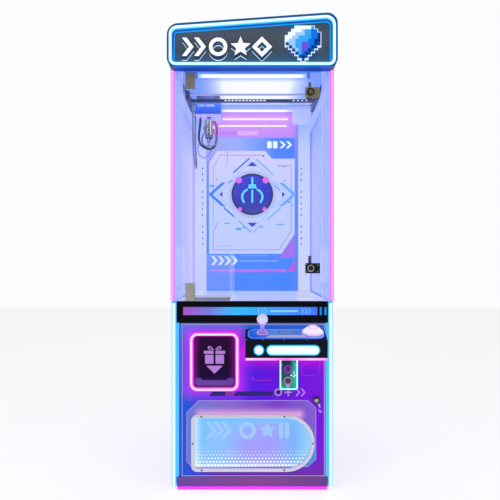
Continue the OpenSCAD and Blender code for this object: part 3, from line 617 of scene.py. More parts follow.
def line_strip(points, width):
    """The outline of a line of this width along points, as a closed shape."""
    left, right = [], []
    for i, (x, z) in enumerate(points):
        before = points[max(i - 1, 0)]
        after = points[min(i + 1, len(points) - 1)]
        a = (x - before[0], z - before[1]) if i else (after[0] - x, after[1] - z)
        b = (after[0] - x, after[1] - z) if i < len(points) - 1 else a
        la, lb = math.hypot(*a), math.hypot(*b)
        na, nb = (-a[1] / la, a[0] / la), (-b[1] / lb, b[0] / lb)
        m = (na[0] + nb[0], na[1] + nb[1])
        scale = width / (m[0] * m[0] + m[1] * m[1])
        left.append((x + m[0] * scale, z + m[1] * scale))
        right.append((x - m[0] * scale, z - m[1] * scale))
    return left + right[::-1]


def disc(x, z, radius, sides=32, start=0.0):
    turn = 2 * math.pi / sides
    return [
        (x + radius * math.cos(start + turn * i), z + radius * math.sin(start + turn * i))
        for i in range(sides)]


circuit_lines = [
    line_strip([(3, 446), (8, 441), (78, 441)], 1.7),
    line_strip([(207, 503), (197, 494), (195, 480), (204, 463), (216, 460), (246, 460)], 1.7),
    line_strip([(269, 540), (269, 470)], 1.4),
    line_strip([(258, 463), (269, 463)], 1.4),
    line_strip([(-254, 462), (-254, 448), (-244, 432), (-236, 420)], 1.0),
    disc(1, 450, 4.2, 20), disc(1, 450, 2.4, 20), disc(211, 506, 3.2, 16),
]
circuits = flat_shape("printed_circuit_lines", circuit_lines, door_y - 0.0004, 0.0004)
dress(circuits, glowing_film("magenta_ink", (0.8, 0.03, 0.62), 0.5), "door")
arrow_bar = flat_shape("printed_arrow_bar", [
    [
        (-172, 378), (70, 378), (86, 387), (78, 396), (-60, 396), (-64, 392), (-84, 392), (-86, 396),
        (-160, 396)],
], door_y - 0.0004, 0.0004)
dress(arrow_bar, glowing_film("navy_ink", (0.03, 0.01, 0.32), 0.25), "door")
chevrons = flat_shape("printed_arrow_heads", [
    [(x, 380), (x + 8, 380), (x + 16, 387), (x + 8, 394), (x, 394), (x + 8, 387)] for x in (-110, -98, -86)
], door_y - 0.0008, 0.0004)
dress(chevrons, glowing_film("plum_ink", (0.55, 0.05, 0.62), 0.4), "door")
window_outline = [
    (-262, 312), (-214, 360), (222, 360), (254, 330), (254, 126), (222, 96), (-238, 92), (-262, 116)]


def window_shape(margin, steps=14):
    """The window's outline: two tight corners at the left and two wide ones at the right."""
    left, right, low, high = -244 + margin, 249 - margin, 77 + margin, 304 - margin
    small, wide = 24 - margin, 113 - margin
    corners = [
        (right - wide, high - wide, wide, 0), (left + small, high - small, small, 90),
        (left + small, low + small, small, 180), (right - wide, low + wide, wide, 270)]
    return [
        (
            x + r * math.cos(math.radians(a + 90 * k / steps)),
            z + r * math.sin(math.radians(a + 90 * k / steps)))
        for x, z, r, a in corners
        for k in range(steps + 1)
    ]


inner_field = flat_shape(
    "printed_window_field", [window_outline, window_shape(10)], door_y - 0.0003, 0.0003)


def field_print(tree, place):
    across = shaded(tree, place, "X", -0.262, 0.245, [
        (0.0, (0.14, 0.22, 0.8)), (0.35, (0.28, 0.14, 0.72)), (0.7, (0.22, 0.02, 0.7)),
        (1.0, (0.24, 0.1, 0.78)),
    ])
    low = halo_mask(tree, place, 0.24, 0.09, 0.1, 0.08, 0.12)
    across = mix_colours(tree, low, across, (0.02, 0.35, 0.85))
    # A painted pink glow along the window's top edge.
    window_sill_glow = halo_mask(tree, place, -0.01, 0.304, 0.2, 0.004, 0.035)
    return mix_colours(tree, window_sill_glow, across, (0.95, 0.45, 0.95))


dress(inner_field, glowing_film("field_violet_film", field_print, 0.5), "door")
outline_print = flat_shape(
    "printed_window_outline", line_loop(window_outline, 2.4), door_y - 0.0007, 0.0004)
dress(outline_print, glowing_film("lilac_ink", (0.55, 0.36, 0.9), 0.55), "door")
key_mark = flat_shape("printed_lock_mark", [
    [(262, 352), (272, 342), (272, 322), (280, 312), (272, 316), (266, 326), (266, 340), (258, 350)],
    [(266, 336), (272, 330), (272, 318), (268, 314), (266, 318)],
], door_y - 0.0004, 0.0004)
dress(key_mark, glowing_film("pale_lilac_ink", (0.7, 0.62, 0.95), 0.5), "door")

# ---- Window trim and lit window ----------------------------------------------------------
# A moulded pale frame with a soft rounded section, held by six black screws, round a sheet
# of lit acrylic. The acrylic has a printed dot screen that grows denser towards the bottom.
window_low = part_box("window_trim")[0]
trim_face = window_low[1]
frame_piece = flat_shape("window_frame", [window_shape(0), window_shape(13)], trim_face, 0.0059, 0.0022)
dress(
    frame_piece,
    worn_surface(
        "pale_moulded_trim", (0.66, 0.64, 0.72), 0.35, rubbed=(0.9, 0.88, 0.92), rubbing=0.4, grain=1300.0,
        depth=0.12),
    "door")
# The pale trim carries a painted glow.
glow(frame_piece.data.materials[0], (0.62, 0.58, 0.7), 0.25)
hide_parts("window_trim")


def screw(name, x, z, front, radius, body, finish_of, rise=0.0016):
    """A pan-head screw: a stepped domed disc with a round recess sunk into it."""
    bpy.ops.object.select_all(action="DESELECT")
    bpy.ops.mesh.primitive_cylinder_add(
        vertices=20, radius=radius, depth=rise, location=(x, front - rise / 2, z),
        rotation=(math.radians(90), 0, 0))
    head = bpy.context.object
    head.name = name
    bpy.ops.object.transform_apply(location=True, rotation=True, scale=True)
    bpy.ops.object.mode_set(mode="EDIT")
    bpy.ops.mesh.select_mode(type="FACE")
    bpy.ops.mesh.select_all(action="DESELECT")
    bpy.ops.object.mode_set(mode="OBJECT")
    for face in head.data.polygons:
        face.select = face.normal.y < -0.9
    bpy.ops.object.mode_set(mode="EDIT")
    bpy.ops.mesh.inset(thickness=radius * 0.25, depth=rise * 0.45)
    bpy.ops.mesh.inset(thickness=radius * 0.3, depth=0)
    bpy.ops.mesh.inset(thickness=radius * 0.05, depth=-rise * 0.9)
    bpy.ops.object.mode_set(mode="OBJECT")
    bpy.ops.object.shade_smooth_by_angle(angle=math.radians(35))
    dress(head, finish_of, body)
    return head


black_screw = worn_surface(
    "blackened_screw", (0.03, 0.02, 0.02), 0.35, metal=0.8, rubbed=(0.4, 0.35, 0.35), grain=600.0)
zinc_screw = worn_surface(
    "zinc_screw", (0.55, 0.55, 0.58), 0.3, metal=0.9, rubbed=(0.8, 0.8, 0.8), grain=600.0)
for number, (x, z) in enumerate(
    ((-203, 297.5), (128, 297.5), (-237.5, 189), (242.5, 190), (-202, 83.5), (127, 83.5))):
    screw(f"window_screw_{number}", x / 1000, z / 1000, trim_face, 0.0031, "door", black_screw)

lit_dots, dots_in, dots_out = group_with(
    "dot_screen",
    [
        ("Place", "NodeSocketVector", None), ("Pitch", "NodeSocketFloat", 0.011),
        ("Size", "NodeSocketFloat", 0.3)],
    [("Mask", "NodeSocketFloat")],
)
step_x = math_node(
    lit_dots, "DIVIDE", axis_of(lit_dots, dots_in.outputs["Place"], "X"), dots_in.outputs["Pitch"])
step_z = math_node(
    lit_dots, "DIVIDE", axis_of(lit_dots, dots_in.outputs["Place"], "Z"), dots_in.outputs["Pitch"])
row = math_node(lit_dots, "FLOOR", step_z)
step_x = math_node(lit_dots, "ADD", step_x, times(lit_dots, row, 0.5))
off_x = math_node(lit_dots, "SUBTRACT", math_node(lit_dots, "FRACT", step_x), 0.5)
off_z = math_node(lit_dots, "SUBTRACT", math_node(lit_dots, "FRACT", step_z), 0.5)
away = math_node(
    lit_dots, "SQRT",
    math_node(
        lit_dots, "ADD", math_node(lit_dots, "POWER", off_x, 2.0), math_node(lit_dots, "POWER", off_z, 2.0))
)
spot = times(lit_dots, math_node(lit_dots, "SUBTRACT", dots_in.outputs["Size"], away), 14.0, True)
lit_dots.links.new(spot, dots_out.inputs["Mask"])


def window_print(tree, place):
    height = axis_of(tree, place, "Z")
    base = shaded(tree, place, "X", -0.232, 0.236, [
        (0.0, (0.16, 0.46, 0.92)), (0.35, (0.22, 0.44, 0.92)), (0.62, (0.3, 0.32, 0.9)),
        (0.85, (0.14, 0.38, 0.88)), (1.0, (0.26, 0.58, 0.95)),
    ])
    high = halo_mask(tree, place, 0.0, 0.29, 0.22, 0.006, 0.045)
    base = mix_colours(tree, high, base, (0.12, 0.48, 0.92))
    middle = halo_mask(tree, place, 0.02, 0.165, 0.05, 0.02, 0.12)
    base = mix_colours(tree, times(tree, middle, 0.8), base, (0.3, 0.24, 0.9))
    left = halo_mask(tree, place, -0.231, 0.19, 0.004, 0.11, 0.035)
    base = mix_colours(tree, times(tree, left, 0.7), base, (0.62, 0.85, 1.0))
    node = tree.nodes.new("ShaderNodeGroup")
    node.node_tree = lit_dots
    tree.links.new(place, node.inputs["Place"])
    growth = times(tree, math_node(tree, "SUBTRACT", 0.196, height), 4.4, True)
    tree.links.new(times(tree, growth, 0.92), node.inputs["Size"])
    node.inputs["Pitch"].default_value = 0.0135
    base = mix_colours(tree, node.outputs[0], base, (0.93, 0.97, 1.0))
    bottom = halo_mask(tree, place, -0.02, 0.088, 0.2, 0.002, 0.024)
    return mix_colours(tree, times(tree, bottom, 0.85), base, (0.8, 0.9, 1.0))


pane_finish = glowing_film("lit_window_film", window_print, 0.85)
coat("window_pane", pane_finish)
pane_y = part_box("window_pane")[0][1]
ghost_outlines = []
for x in (-188, -158, -128):
    ghost_outlines.append([(x, 206), (x + 16, 206), (x + 46, 240), (x + 16, 274), (x, 274), (x + 30, 240)])
ghost_outlines += [disc(-20, 240, 34, 40), disc(-20, 240, 19, 40)]
ghost_outlines.append(
    [
        (60 + r * math.sin(math.radians(36 * i)), 240 + r * math.cos(math.radians(36 * i)))
        for i, r in ((i, 36 if i % 2 == 0 else 16) for i in range(10))])


def rounded_box(x0, x1, z0, z1, radius, steps=6):
    corners = [
        (x1 - radius, z1 - radius, 0), (x0 + radius, z1 - radius, 90), (x0 + radius, z0 + radius, 180),
        (x1 - radius, z0 + radius, 270)]
    return [
        (
            x + radius * math.cos(math.radians(a + 90 * k / steps)),
            z + radius * math.sin(math.radians(a + 90 * k / steps)))
        for x, z, a in corners
        for k in range(steps + 1)
    ]


ghost_outlines += [rounded_box(106, 124, 208, 272, 8), rounded_box(130, 148, 208, 272, 8)]
ghost = flat_shape("window_figures", ghost_outlines, pane_y - 0.0005, 0.0005)
dress(ghost, glowing_film("pale_window_ink", (0.34, 0.58, 0.97), 0.8), "door")

# ---- Door figures ------------------------------------------------------------------------
# Lilac printed figures with a navy outline, above the window on the right.


def door_figures(grow):
    """A ring, a cross and two arrow heads, each grown by a margin."""
    figures = [disc(104, 393, 15.5 + grow, 32)]
    if not grow:
        figures.append(disc(104, 393, 9.5, 28))
    arm, reach = 3.2 + grow, 15.5 + grow
    figures.append([
        (144 - arm, 393 - reach), (144 + arm, 393 - reach), (144 + arm, 393 - arm),
        (144 + reach, 393 - arm), (144 + reach, 393 + arm), (144 + arm, 393 + arm),
        (144 + arm, 393 + reach), (144 - arm, 393 + reach), (144 - arm, 393 + arm),
        (144 - reach, 393 + arm), (144 - reach, 393 - arm), (144 - arm, 393 - arm),
    ])
    for x in (172, 193):
        figures.append([
            (x - grow, 393 - 15.5 - grow), (x + 7 + grow, 393 - 15.5 - grow), (x + 20 + 1.4 * grow, 393),
            (x + 7 + grow, 393 + 15.5 + grow),
            (x - grow, 393 + 15.5 + grow), (x + 13 - grow, 393),
        ])
    return figures


figure_back = flat_shape("door_figure_outlines", door_figures(3.0)[:2], door_y - 0.0003, 0.0003)
dress(figure_back, glowing_film("navy_figure_outline", (0.01, 0.01, 0.3), 0.5), "door")
figure_ink = flat_shape("door_figure_faces", door_figures(0.0), door_y - 0.0006, 0.0006)
dress(figure_ink, glowing_film("lilac_figure_ink", (0.5, 0.2, 0.82), 0.8), "door")

# ---- Cam lock ----------------------------------------------------------------------------
# A chromed cam lock with a black escutcheon and a key slot, in the door's right edge.
coat(
    "service_lock",
    worn_surface(
        "plated_lock", (0.42, 0.42, 0.45), 0.18, metal=1.0, rubbed=(0.7, 0.65, 0.55), drift=0.3, grain=500.0
    )
)
lock_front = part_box("service_lock")[0][1]
lock_parts = flat_shape(
    "lock_escutcheon", [disc(256, 362, 14.8, 40), disc(256, 362, 8.6, 40)], lock_front - 0.0022, 0.0055,
    0.0012)
dress(
    lock_parts,
    worn_surface("black_escutcheon", (0.012, 0.01, 0.012), 0.3, rubbed=(0.3, 0.3, 0.3), grain=700.0),
    "door_lock")
key_plug = flat_shape(
    "lock_key_plug", [disc(256, 362, 8.0, 32), box(255, 257, 357, 367)], lock_front - 0.0016, 0.0022, 0.0005
)
dress(
    key_plug,
    worn_surface(
        "worn_nickel_plug", (0.5, 0.4, 0.45), 0.25, metal=1.0, rubbed=(0.8, 0.75, 0.7), grain=400.0),
    "door_lock")

# ---- Prize opening -----------------------------------------------------------------------
# A lit silicone tube bent round the opening, and a tinted acrylic flap with a printed
# arrow, a violet ledge along its foot and a fine engraved border.


def from_curve(name, curve):
    """Makes a smooth piece of a finished curve."""
    piece = bpy.data.objects.new(name, curve)
    bpy.context.scene.collection.objects.link(piece)
    only(piece)
    bpy.ops.object.convert(target="MESH")
    piece = bpy.context.view_layer.objects.active
    piece.name = name
    bpy.ops.object.shade_smooth()
    return piece


def bent_tube(name, outline, front_y, radius, sides=16):
    """A round tube bent along a closed outline in X and Z, its middle at front_y."""
    curve = bpy.data.curves.new(name, "CURVE")
    curve.dimensions = "3D"
    curve.bevel_depth = radius
    curve.bevel_resolution = sides // 4
    curve.resolution_u = 1
    spline = curve.splines.new("POLY")
    spline.points.add(len(outline) - 1)
    for point, (x, z) in zip(spline.points, outline):
        point.co = (x / 1000, front_y, z / 1000, 1)
    spline.use_cyclic_u = True
    return from_curve(name, curve)


neon_low, neon_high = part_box("prize_neon")
neon_mid = (neon_low[1] + neon_high[1]) / 2
neon_tube = bent_tube("prize_tube", rounded_box(-243, -60, 406, 626, 24, 12), neon_mid, 0.0062)
dress(
    neon_tube,
    tube_light(
        "pink_prize_tube", neon_mid - 0.0062, 0.0062, (1.0, 0.74, 0.96), (1.0, 0.14, 0.86), 1.3,
        (0.9, 0.0, 0.75)),
    "door")
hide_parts("prize_neon")
neon_base = flat_shape(
    "prize_tube_channel",
    [rounded_box(-252, -51, 397, 635, 33, 10), rounded_box(-235, -68, 414, 618, 16, 10)], door_y - 0.0042,
    0.0042, 0.0008)
dress(neon_base, glowing_film("magenta_channel", (0.95, 0.03, 0.72), 0.9), "door")


def flap_print(tree, place):
    base = shaded(tree, place, "Z", 0.414, 0.612, [
        (0.0, (0.01, 0.0, 0.045)), (0.5, (0.006, 0.0, 0.014)), (1.0, (0.02, 0.0, 0.03)),
    ])
    # Painted magenta glow from the prize tube along both side edges of the flap.
    edge_glow = halo_mask(tree, place, -0.234, 0.512, 0.0, 0.1, 0.03)
    base = mix_colours(tree, times(tree, edge_glow, 0.5), base, (0.35, 0.0, 0.35))
    right_edge_glow = halo_mask(tree, place, -0.069, 0.512, 0.0, 0.1, 0.03)
    return mix_colours(tree, times(tree, right_edge_glow, 0.5), base, (0.35, 0.0, 0.35))


flap_finish = worn_surface(
    "tinted_flap", flap_print, 0.2, rubbed=(0.1, 0.05, 0.15), rubbing=0.15, grain=1400.0, gloss=0.08)
# The flap carries a painted glow.
painted_self_glow(flap_finish, 0.5)
coat("prize_flap", flap_finish)
flap_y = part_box("prize_flap")[0][1]
flap_face = flap_y + 0.002
gift_x = (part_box("prize_flap")[0][0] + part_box("prize_flap")[1][0]) * 500
gift = [
    rounded_box(gift_x - 38, gift_x - 4, 506, 542, 3), rounded_box(gift_x + 4, gift_x + 38, 506, 542, 3),
    rounded_box(gift_x - 43, gift_x - 4, 546, 558, 3), rounded_box(gift_x + 4, gift_x + 43, 546, 558, 3),
]
for side in (-1, 1):
    bow = [(gift_x + side * x, z) for x, z in ((2, 561), (14, 575), (25, 577), (28, 568), (20, 561))]
    knot = [(gift_x + side * x, z) for x, z in ((9, 563), (16, 570), (22, 572), (23, 568), (18, 564))]
    gift += [bow, knot]
gift.append([(gift_x - 33, 498), (gift_x, 466), (gift_x + 33, 498)])
gift_print = flat_shape("flap_gift_and_arrow", gift, flap_face - 0.0012, 0.0012, 0.0002)
dress(gift_print, glowing_film("lilac_flap_ink", (0.46, 0.2, 0.66), 0.8), "flap")
ledge = flat_shape("flap_ledge", [
    [
        (-230, 426), (-222, 417), (-81, 417), (-73, 426), (-73, 449), (-96, 449), (-103, 441), (-200, 441),
        (-207, 449), (-230, 449)],
], flap_face - 0.0022, 0.0022, 0.0006)
dress(ledge, glowing_film("violet_ledge", (0.16, 0.05, 0.42), 0.6), "flap")

# ---- Coin unit ---------------------------------------------------------------------------
# A gloss plate lit green along its rim by a bent tube, with a round coin entry above and a
# teardrop surround for the return button below.
plate_y = door_y - 0.006


def plate_print(tree, place):
    # Painted green glow from the rim tube, strongest at the foot and along the right edge.
    base = shaded(tree, place, "Z", 0.405, 0.53, [
        (0.0, (0.0, 0.3, 0.18)), (0.35, (0.002, 0.09, 0.09)), (0.7, (0.003, 0.03, 0.07)),
        (1.0, (0.005, 0.01, 0.06)),
    ])
    right = halo_mask(tree, place, 0.17, 0.47, 0.002, 0.04, 0.024)
    return mix_colours(tree, right, base, (0.01, 0.42, 0.28))


coin_finish = worn_surface(
    "green_coin_plate", plate_print, 0.22, rubbed=(0.2, 0.5, 0.45), rubbing=0.3, grain=900.0, gloss=0.15)
# The plate carries a painted glow.
painted_self_glow(coin_finish, 0.6)
coat("coin_plate", coin_finish)
rim_tube = bent_tube("coin_rim_tube", rounded_box(112, 178, 409, 526, 6, 5), plate_y - 0.0036, 0.0036, 12)


def rim_colour():
    material = tube_light(
        "green_rim_tube", plate_y - 0.0072, 0.0036, (0.7, 1.0, 0.95), (0.02, 0.9, 0.7), 1.3,
        (0.0, 0.55, 0.35))
    return material


dress(rim_tube, rim_colour(), "door")
dial = flat_shape(
    "coin_entry_ring", [disc(142, 488, 16.2, 40), disc(142, 488, 12.4, 40)], door_y - 0.0132, 0.0026, 0.0007
)
dress(dial, glowing_film("magenta_ring_lens", (0.34, 0.03, 0.6), 0.8), "door")
for side in (-1, 1):
    half = [(142 + side * 2.6, 476.5)] + [
        (142 + side * 11.6 * math.cos(math.radians(a)), 488 + 11.6 * math.sin(math.radians(a)))
        for a in range(-76, 77, 8)] + [(142 + side * 2.6, 499.5)]
    cheek = flat_shape(f"coin_entry_cheek_{side + 1}", [half], door_y - 0.0124, 0.0016, 0.0004)
    dress(cheek, glowing_film(f"plum_cheek_{side + 1}", (0.12, 0.01, 0.26), 0.7), "door")
drop = [
    (142 + 16.4 * math.cos(math.radians(a)), 441 + 16.4 * math.sin(math.radians(a)))
    for a in range(-28, 209, 9)] + [(142, 411)]
drop_hole = disc(142, 440, 13.3, 32)
surround = flat_shape("return_button_surround", [drop, drop_hole], door_y - 0.0118, 0.0042, 0.0009)
dress(surround, glowing_film("pale_lilac_surround", (0.55, 0.45, 0.72), 0.5), "door")


def button_print(tree, place):
    return shaded(tree, place, "Z", 0.427, 0.453, [
        (0.0, (0.6, 0.18, 0.52)), (0.3, (0.2, 0.05, 0.22)), (0.5, (0.015, 0.02, 0.03)),
        (1.0, (0.012, 0.02, 0.03)),
    ])


coat(
    "coin_reject_button",
    worn_surface("plum_return_button", button_print, 0.2, rubbed=(0.7, 0.6, 0.7), grain=900.0))
lamps_at = [
    disc(165, 473, 2.4, 14), disc(155.5, 462.5, 2.6, 14), disc(164.5, 457.5, 2.6, 14),
    disc(170, 463, 1.8, 12)]
coin_lamps = flat_shape("coin_lamps", lamps_at, plate_y - 0.0014, 0.0014, 0.0004)
dress(coin_lamps, glowing_film("white_lamp_lens", (0.85, 1.0, 0.95), 1.6), "door")
for number, (x, z) in enumerate(((120, 505), (169, 505), (120, 418), (169, 418))):
    screw(f"coin_screw_{number}", x / 1000, z / 1000, plate_y, 0.0026, "door", zinc_screw)

# ---- Console shell and its lamps ---------------------------------------------------------
# A black moulded shell that stands out from the door. Its front holds a round lens and a
# long lens with white light and a cyan rim, and a magenta strip glows under its front edge.
coat(
    "console_housing",
    worn_surface(
        "navy_black_console", (0.002, 0.003, 0.012), 0.3, rubbed=(0.06, 0.08, 0.16), rubbing=0.5,
        grain=1000.0, gloss=0.12)
)
shell_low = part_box("console_lights")[0]
lamp_face = shell_low[1]


def lens_light(tree, place):
    round_lens = halo_mask(tree, place, 0.025, 0.58, 0.0, 0.0, 0.0185)
    long_lens = halo_mask(tree, place, 0.155, 0.58, 0.082, 0.0, 0.0185)
    nearness = math_node(tree, "MAXIMUM", round_lens, long_lens)
    lens = graded(
        tree, nearness, 0.0, 0.2,
        [(0.0, (0.0, 0.3, 0.9)), (0.12, (0.1, 0.72, 1.0)), (0.4, (0.8, 1.0, 1.0)), (1.0, (0.95, 1.0, 1.0))])
    strip = shaded(tree, place, "X", -0.027, 0.286, [
        (0.0, (1.0, 0.55, 0.95)), (0.3, (1.0, 0.35, 0.9)), (0.5, (0.98, 0.12, 0.8)),
        (0.8, (1.0, 0.5, 0.95)), (1.0, (0.95, 0.25, 0.85)),
    ])
    low = math_node(tree, "LESS_THAN", axis_of(tree, place, "Z"), 0.556)
    return mix_colours(tree, low, lens, strip)


coat("console_lights", glowing_film("console_lens_light", lens_light, 1.0))
rims = flat_shape("lens_rims", [
    disc(25, 580, 20.2, 48), disc(25, 580, 18.2, 48), rounded_box(52.8, 257.2, 559.8, 600.2, 20.1, 10),
    rounded_box(54.8, 255.2, 561.8, 598.2, 18.1, 10),
], lamp_face + 0.0012, 0.0016, 0.0004)
dress(rims, glowing_film("cyan_lens_rim", (0.0, 0.45, 1.0), 1.0), "door")
inner_line = flat_shape(
    "long_lens_line",
    [rounded_box(64, 246, 570.5, 589.5, 9.4, 8), rounded_box(65.6, 244.4, 572.1, 587.9, 7.8, 8)],
    lamp_face - 0.0004, 0.0008)
dress(inner_line, glowing_film("pale_cyan_line", (0.3, 0.78, 1.0), 0.8), "door")
side_glow = flat_shape("console_side_glow", [box(-29.6, -27.4, 551, 606)], door_y - 0.0016, 0.0016, 0.0004)
dress(side_glow, glowing_film("magenta_side_line", (0.85, 0.05, 0.85), 0.9), "door")

# ---- Console top -------------------------------------------------------------------------
# A gloss inlay on the sloping top, screwed down along its edges, with a dark display slot, a pink collar
# round the stick and a pale blue bezel round the start button. A pale lilac band on the inlay is a painted
# reflection, and the inlay and its pieces carry a painted glow.
slope = math.atan(28 / 97)


def console_shape(name, outlines, low, thickness, bevel=0.0):
    """A piece cut from sheet that lies on the console's sloping top, low above it."""
    piece = flat_shape(name, outlines, 0.0, thickness)
    piece.rotation_euler = (slope - math.radians(90), 0, 0)
    rise = low + thickness
    piece.location = (0, -0.28 - rise * math.sin(slope), 0.646 + rise * math.cos(slope))
    only(piece)
    bpy.ops.object.transform_apply(location=True, rotation=True, scale=True)
    if bevel:
        round_edges(piece, bevel, 3)
    return piece


def inlay_print(tree, place):
    across = shaded(tree, place, "X", -0.02, 0.28, [
        (0.0, (0.0, 0.14, 0.8)), (0.14, (0.06, 0.24, 0.85)), (0.35, (0.16, 0.32, 0.88)),
        (0.62, (0.12, 0.3, 0.88)), (0.85, (0.02, 0.18, 0.82)), (1.0, (0.0, 0.12, 0.8)),
    ])
    near = shaded(
        tree, place, "Y", -0.372, -0.3,
        [(0.0, (1.0, 1.0, 1.0)), (0.2, (0.75, 0.75, 0.75)), (0.5, (0.0, 0.0, 0.0)), (1.0, (0.0, 0.0, 0.0))])
    return mix_colours(tree, near, across, (0.01, 0.1, 0.8))


coat(
    "console_panel",
    worn_surface(
        "blue_console_inlay", inlay_print, 0.16, rubbed=(0.3, 0.5, 1.0), rubbing=0.3, grain=1600.0,
        depth=0.04, gloss=0.2)
)
# The inlay carries a painted glow.
painted_self_glow(bpy.data.materials["blue_console_inlay"], 0.35)
blade_shapes = [rounded_box(-15, 276, -90, -11, 26, 8), rounded_box(-13.4, 274.4, -88.4, -12.6, 24.4, 8)]
border = console_shape("console_border_line", blade_shapes, 0.0031, 0.0005)
dress(border, glowing_film("pale_blue_border", (0.45, 0.65, 1.0), 0.6), "door")
display = console_shape("console_display", [rounded_box(103, 173, -49, -39, 2)], 0.0046, 0.0006)
dress(display, glowing_film("dark_display", (0.01, 0.03, 0.3), 0.5), "door")
figures = console_shape(
    "display_lit_line", [box(107, 158, -46.4, -44.8), box(160, 169, -46.4, -44.8)], 0.0053, 0.0004)
dress(figures, glowing_film("white_display_line", (0.62, 0.75, 1.0), 0.9), "door")
# A painted reflection: a pale lilac band on the gloss inlay.
reflection = console_shape(
    "console_painted_reflection", [[(52, -84), (206, -84), (198, -64), (64, -64)]], 0.0031, 0.0004)
dress(reflection, glowing_film("painted_reflection_band", (0.62, 0.66, 0.98), 0.5), "door")


def console_screw(name, x, y, radius, low, finish_of):
    head = screw(name, x / 1000, 0.0, 0.0, radius, "door", finish_of)
    head.rotation_euler = (slope - math.radians(90), 0, 0)
    head.location = (
        0, -0.28 + y / 1000 * math.cos(slope) - low * math.sin(slope),
        0.646 + y / 1000 * math.sin(slope) + low * math.cos(slope))
    only(head)
    bpy.ops.object.transform_apply(location=True, rotation=True, scale=True)


screw_places = [
    (-22, -5), (60, -3.6), (118, -3.6), (190, -3.6), (281.5, -5), (-22, -97), (40, -97.5), (120, -97.5),
    (206, -97.5), (281.5, -97)]
for number, (x, y) in enumerate(screw_places):
    console_screw(f"console_screw_{number}", x, y, 0.0022, 0.0, zinc_screw)

collar = console_shape(
    "stick_collar", [disc(39, -47, 21.4, 48), disc(39, -47, 14.4, 48)], 0.0052, 0.0022, 0.0009)
dress(collar, glowing_film("pink_stick_collar", (0.95, 0.4, 0.8), 0.6), "door")
bezel = console_shape(
    "start_bezel", [disc(236, -47, 41.8, 64), disc(236, -47, 38.8, 64)], 0.0085, 0.0028, 0.0011)
dress(bezel, glowing_film("pale_blue_bezel", (0.62, 0.72, 1.0), 0.6), "door")
spun = console_shape(
    "start_bezel_foot", [disc(236, -47, 43.4, 64), disc(236, -47, 40.2, 64)], 0.0031, 0.003, 0.0011)
dress(spun, glowing_film("pink_bezel_foot", (0.95, 0.45, 0.9), 0.6), "door")

# ---- Joystick ----------------------------------------------------------------------------
# A clear lilac stick with a frosted ball. The ball is speckled, a domed dust washer slides
# under it on the stick, and the gimbal hides in the console.


def stick_colour(tree, place):
    base = shaded(tree, place, "Z", 0.63, 0.705, [
        (0.0, (0.5, 0.14, 0.75)), (0.3, (0.26, 0.22, 0.88)), (0.46, (0.34, 0.28, 0.9)),
        (0.56, (0.5, 0.44, 0.92)), (0.66, (0.6, 0.56, 0.95)), (1.0, (0.8, 0.76, 0.98)),
    ])
    cells = tree.nodes.new("ShaderNodeTexVoronoi")
    cells.inputs["Scale"].default_value = 330.0
    tree.links.new(place, cells.inputs["Vector"])
    speckle = times(tree, math_node(tree, "SUBTRACT", 0.32, cells.outputs["Distance"]), 5.0, True)
    base = mix_colours(tree, times(tree, speckle, 0.55), base, (1.0, 0.95, 1.0))
    # Painted highlights: bright lines down both sides of the clear stick and its ball.
    sides = math_node(tree, "ABSOLUTE", math_node(tree, "SUBTRACT", axis_of(tree, place, "X"), 0.039))
    painted_edge_highlight = graded(
        tree, sides, 0.0, 0.022,
        [
            (0.0, (0.0, 0.0, 0.0)), (0.25, (0.0, 0.0, 0.0)), (0.36, (0.6, 0.6, 0.6)),
            (0.42, (0.0, 0.0, 0.0)), (0.8, (0.1, 0.1, 0.1)), (1.0, (0.5, 0.5, 0.5))]
    )
    return mix_colours(tree, painted_edge_highlight, base, (0.95, 0.75, 1.0))


stick_finish = worn_surface(
    "frosted_lilac_stick", stick_colour, 0.3, rubbed=(0.95, 0.9, 1.0), rubbing=0.3, grain=1200.0, depth=0.1)
# The stick carries a painted glow.
painted_self_glow(stick_finish, 0.3)
coat("joystick", stick_finish)
coat(
    "joystick_gimbal",
    worn_surface("black_gimbal_nylon", (0.03, 0.03, 0.035), 0.5, rubbed=(0.2, 0.2, 0.2), grain=700.0))


def round_ring(name, centre, ring_radius, tube_radius, sides, flatten=1.0, turned=(0, 0, 0)):
    """A ring round its centre, pressed flatter or drawn taller by a share."""
    bpy.ops.object.select_all(action="DESELECT")
    bpy.ops.mesh.primitive_torus_add(
        major_segments=sides[0], minor_segments=sides[1], major_radius=ring_radius,
        minor_radius=tube_radius, location=centre, rotation=turned)
    piece = bpy.context.object
    piece.name = name
    bpy.ops.object.transform_apply(location=True, rotation=True, scale=True)
    bpy.ops.object.mode_set(mode="EDIT")
    bpy.ops.mesh.select_all(action="SELECT")
    bpy.ops.transform.resize(value=(1, 1, flatten), center_override=centre)
    bpy.ops.object.mode_set(mode="OBJECT")
    bpy.ops.object.shade_smooth()
    return piece


def turned_ring(name, x, y, low, ring_radius, tube_radius, flatten=1.0):
    """A ring laid flat on the console's top, round a point, its middle low above the top."""
    piece = round_ring(name, (x / 1000, y / 1000, low), ring_radius, tube_radius, (56, 12), flatten)
    settle(piece)
    return piece


def settle(piece):
    """Turns a piece made flat at the origin onto the console's top and fixes it there."""
    piece.rotation_euler = (slope, 0, 0)
    piece.location = (0, -0.28, 0.646)
    only(piece)
    bpy.ops.object.transform_apply(location=True, rotation=True, scale=True)


washer = turned_ring("stick_dust_washer", 39, -47, 0.0395, 0.0074, 0.0018, 0.8)
dress(washer, glowing_film("pale_lilac_washer", (0.66, 0.5, 0.92), 0.4), "stick")
seam = turned_ring("ball_seam", 39, -47, 0.043, 0.0078, 0.001)
dress(seam, glowing_film("lilac_ball_neck", (0.55, 0.4, 0.86), 0.4), "stick")

# ---- Start button ------------------------------------------------------------------------
# A tall white dome with lamps inside. A pink ring is set into it near the top, and its
# skirt is tinted pink where it meets the bezel.


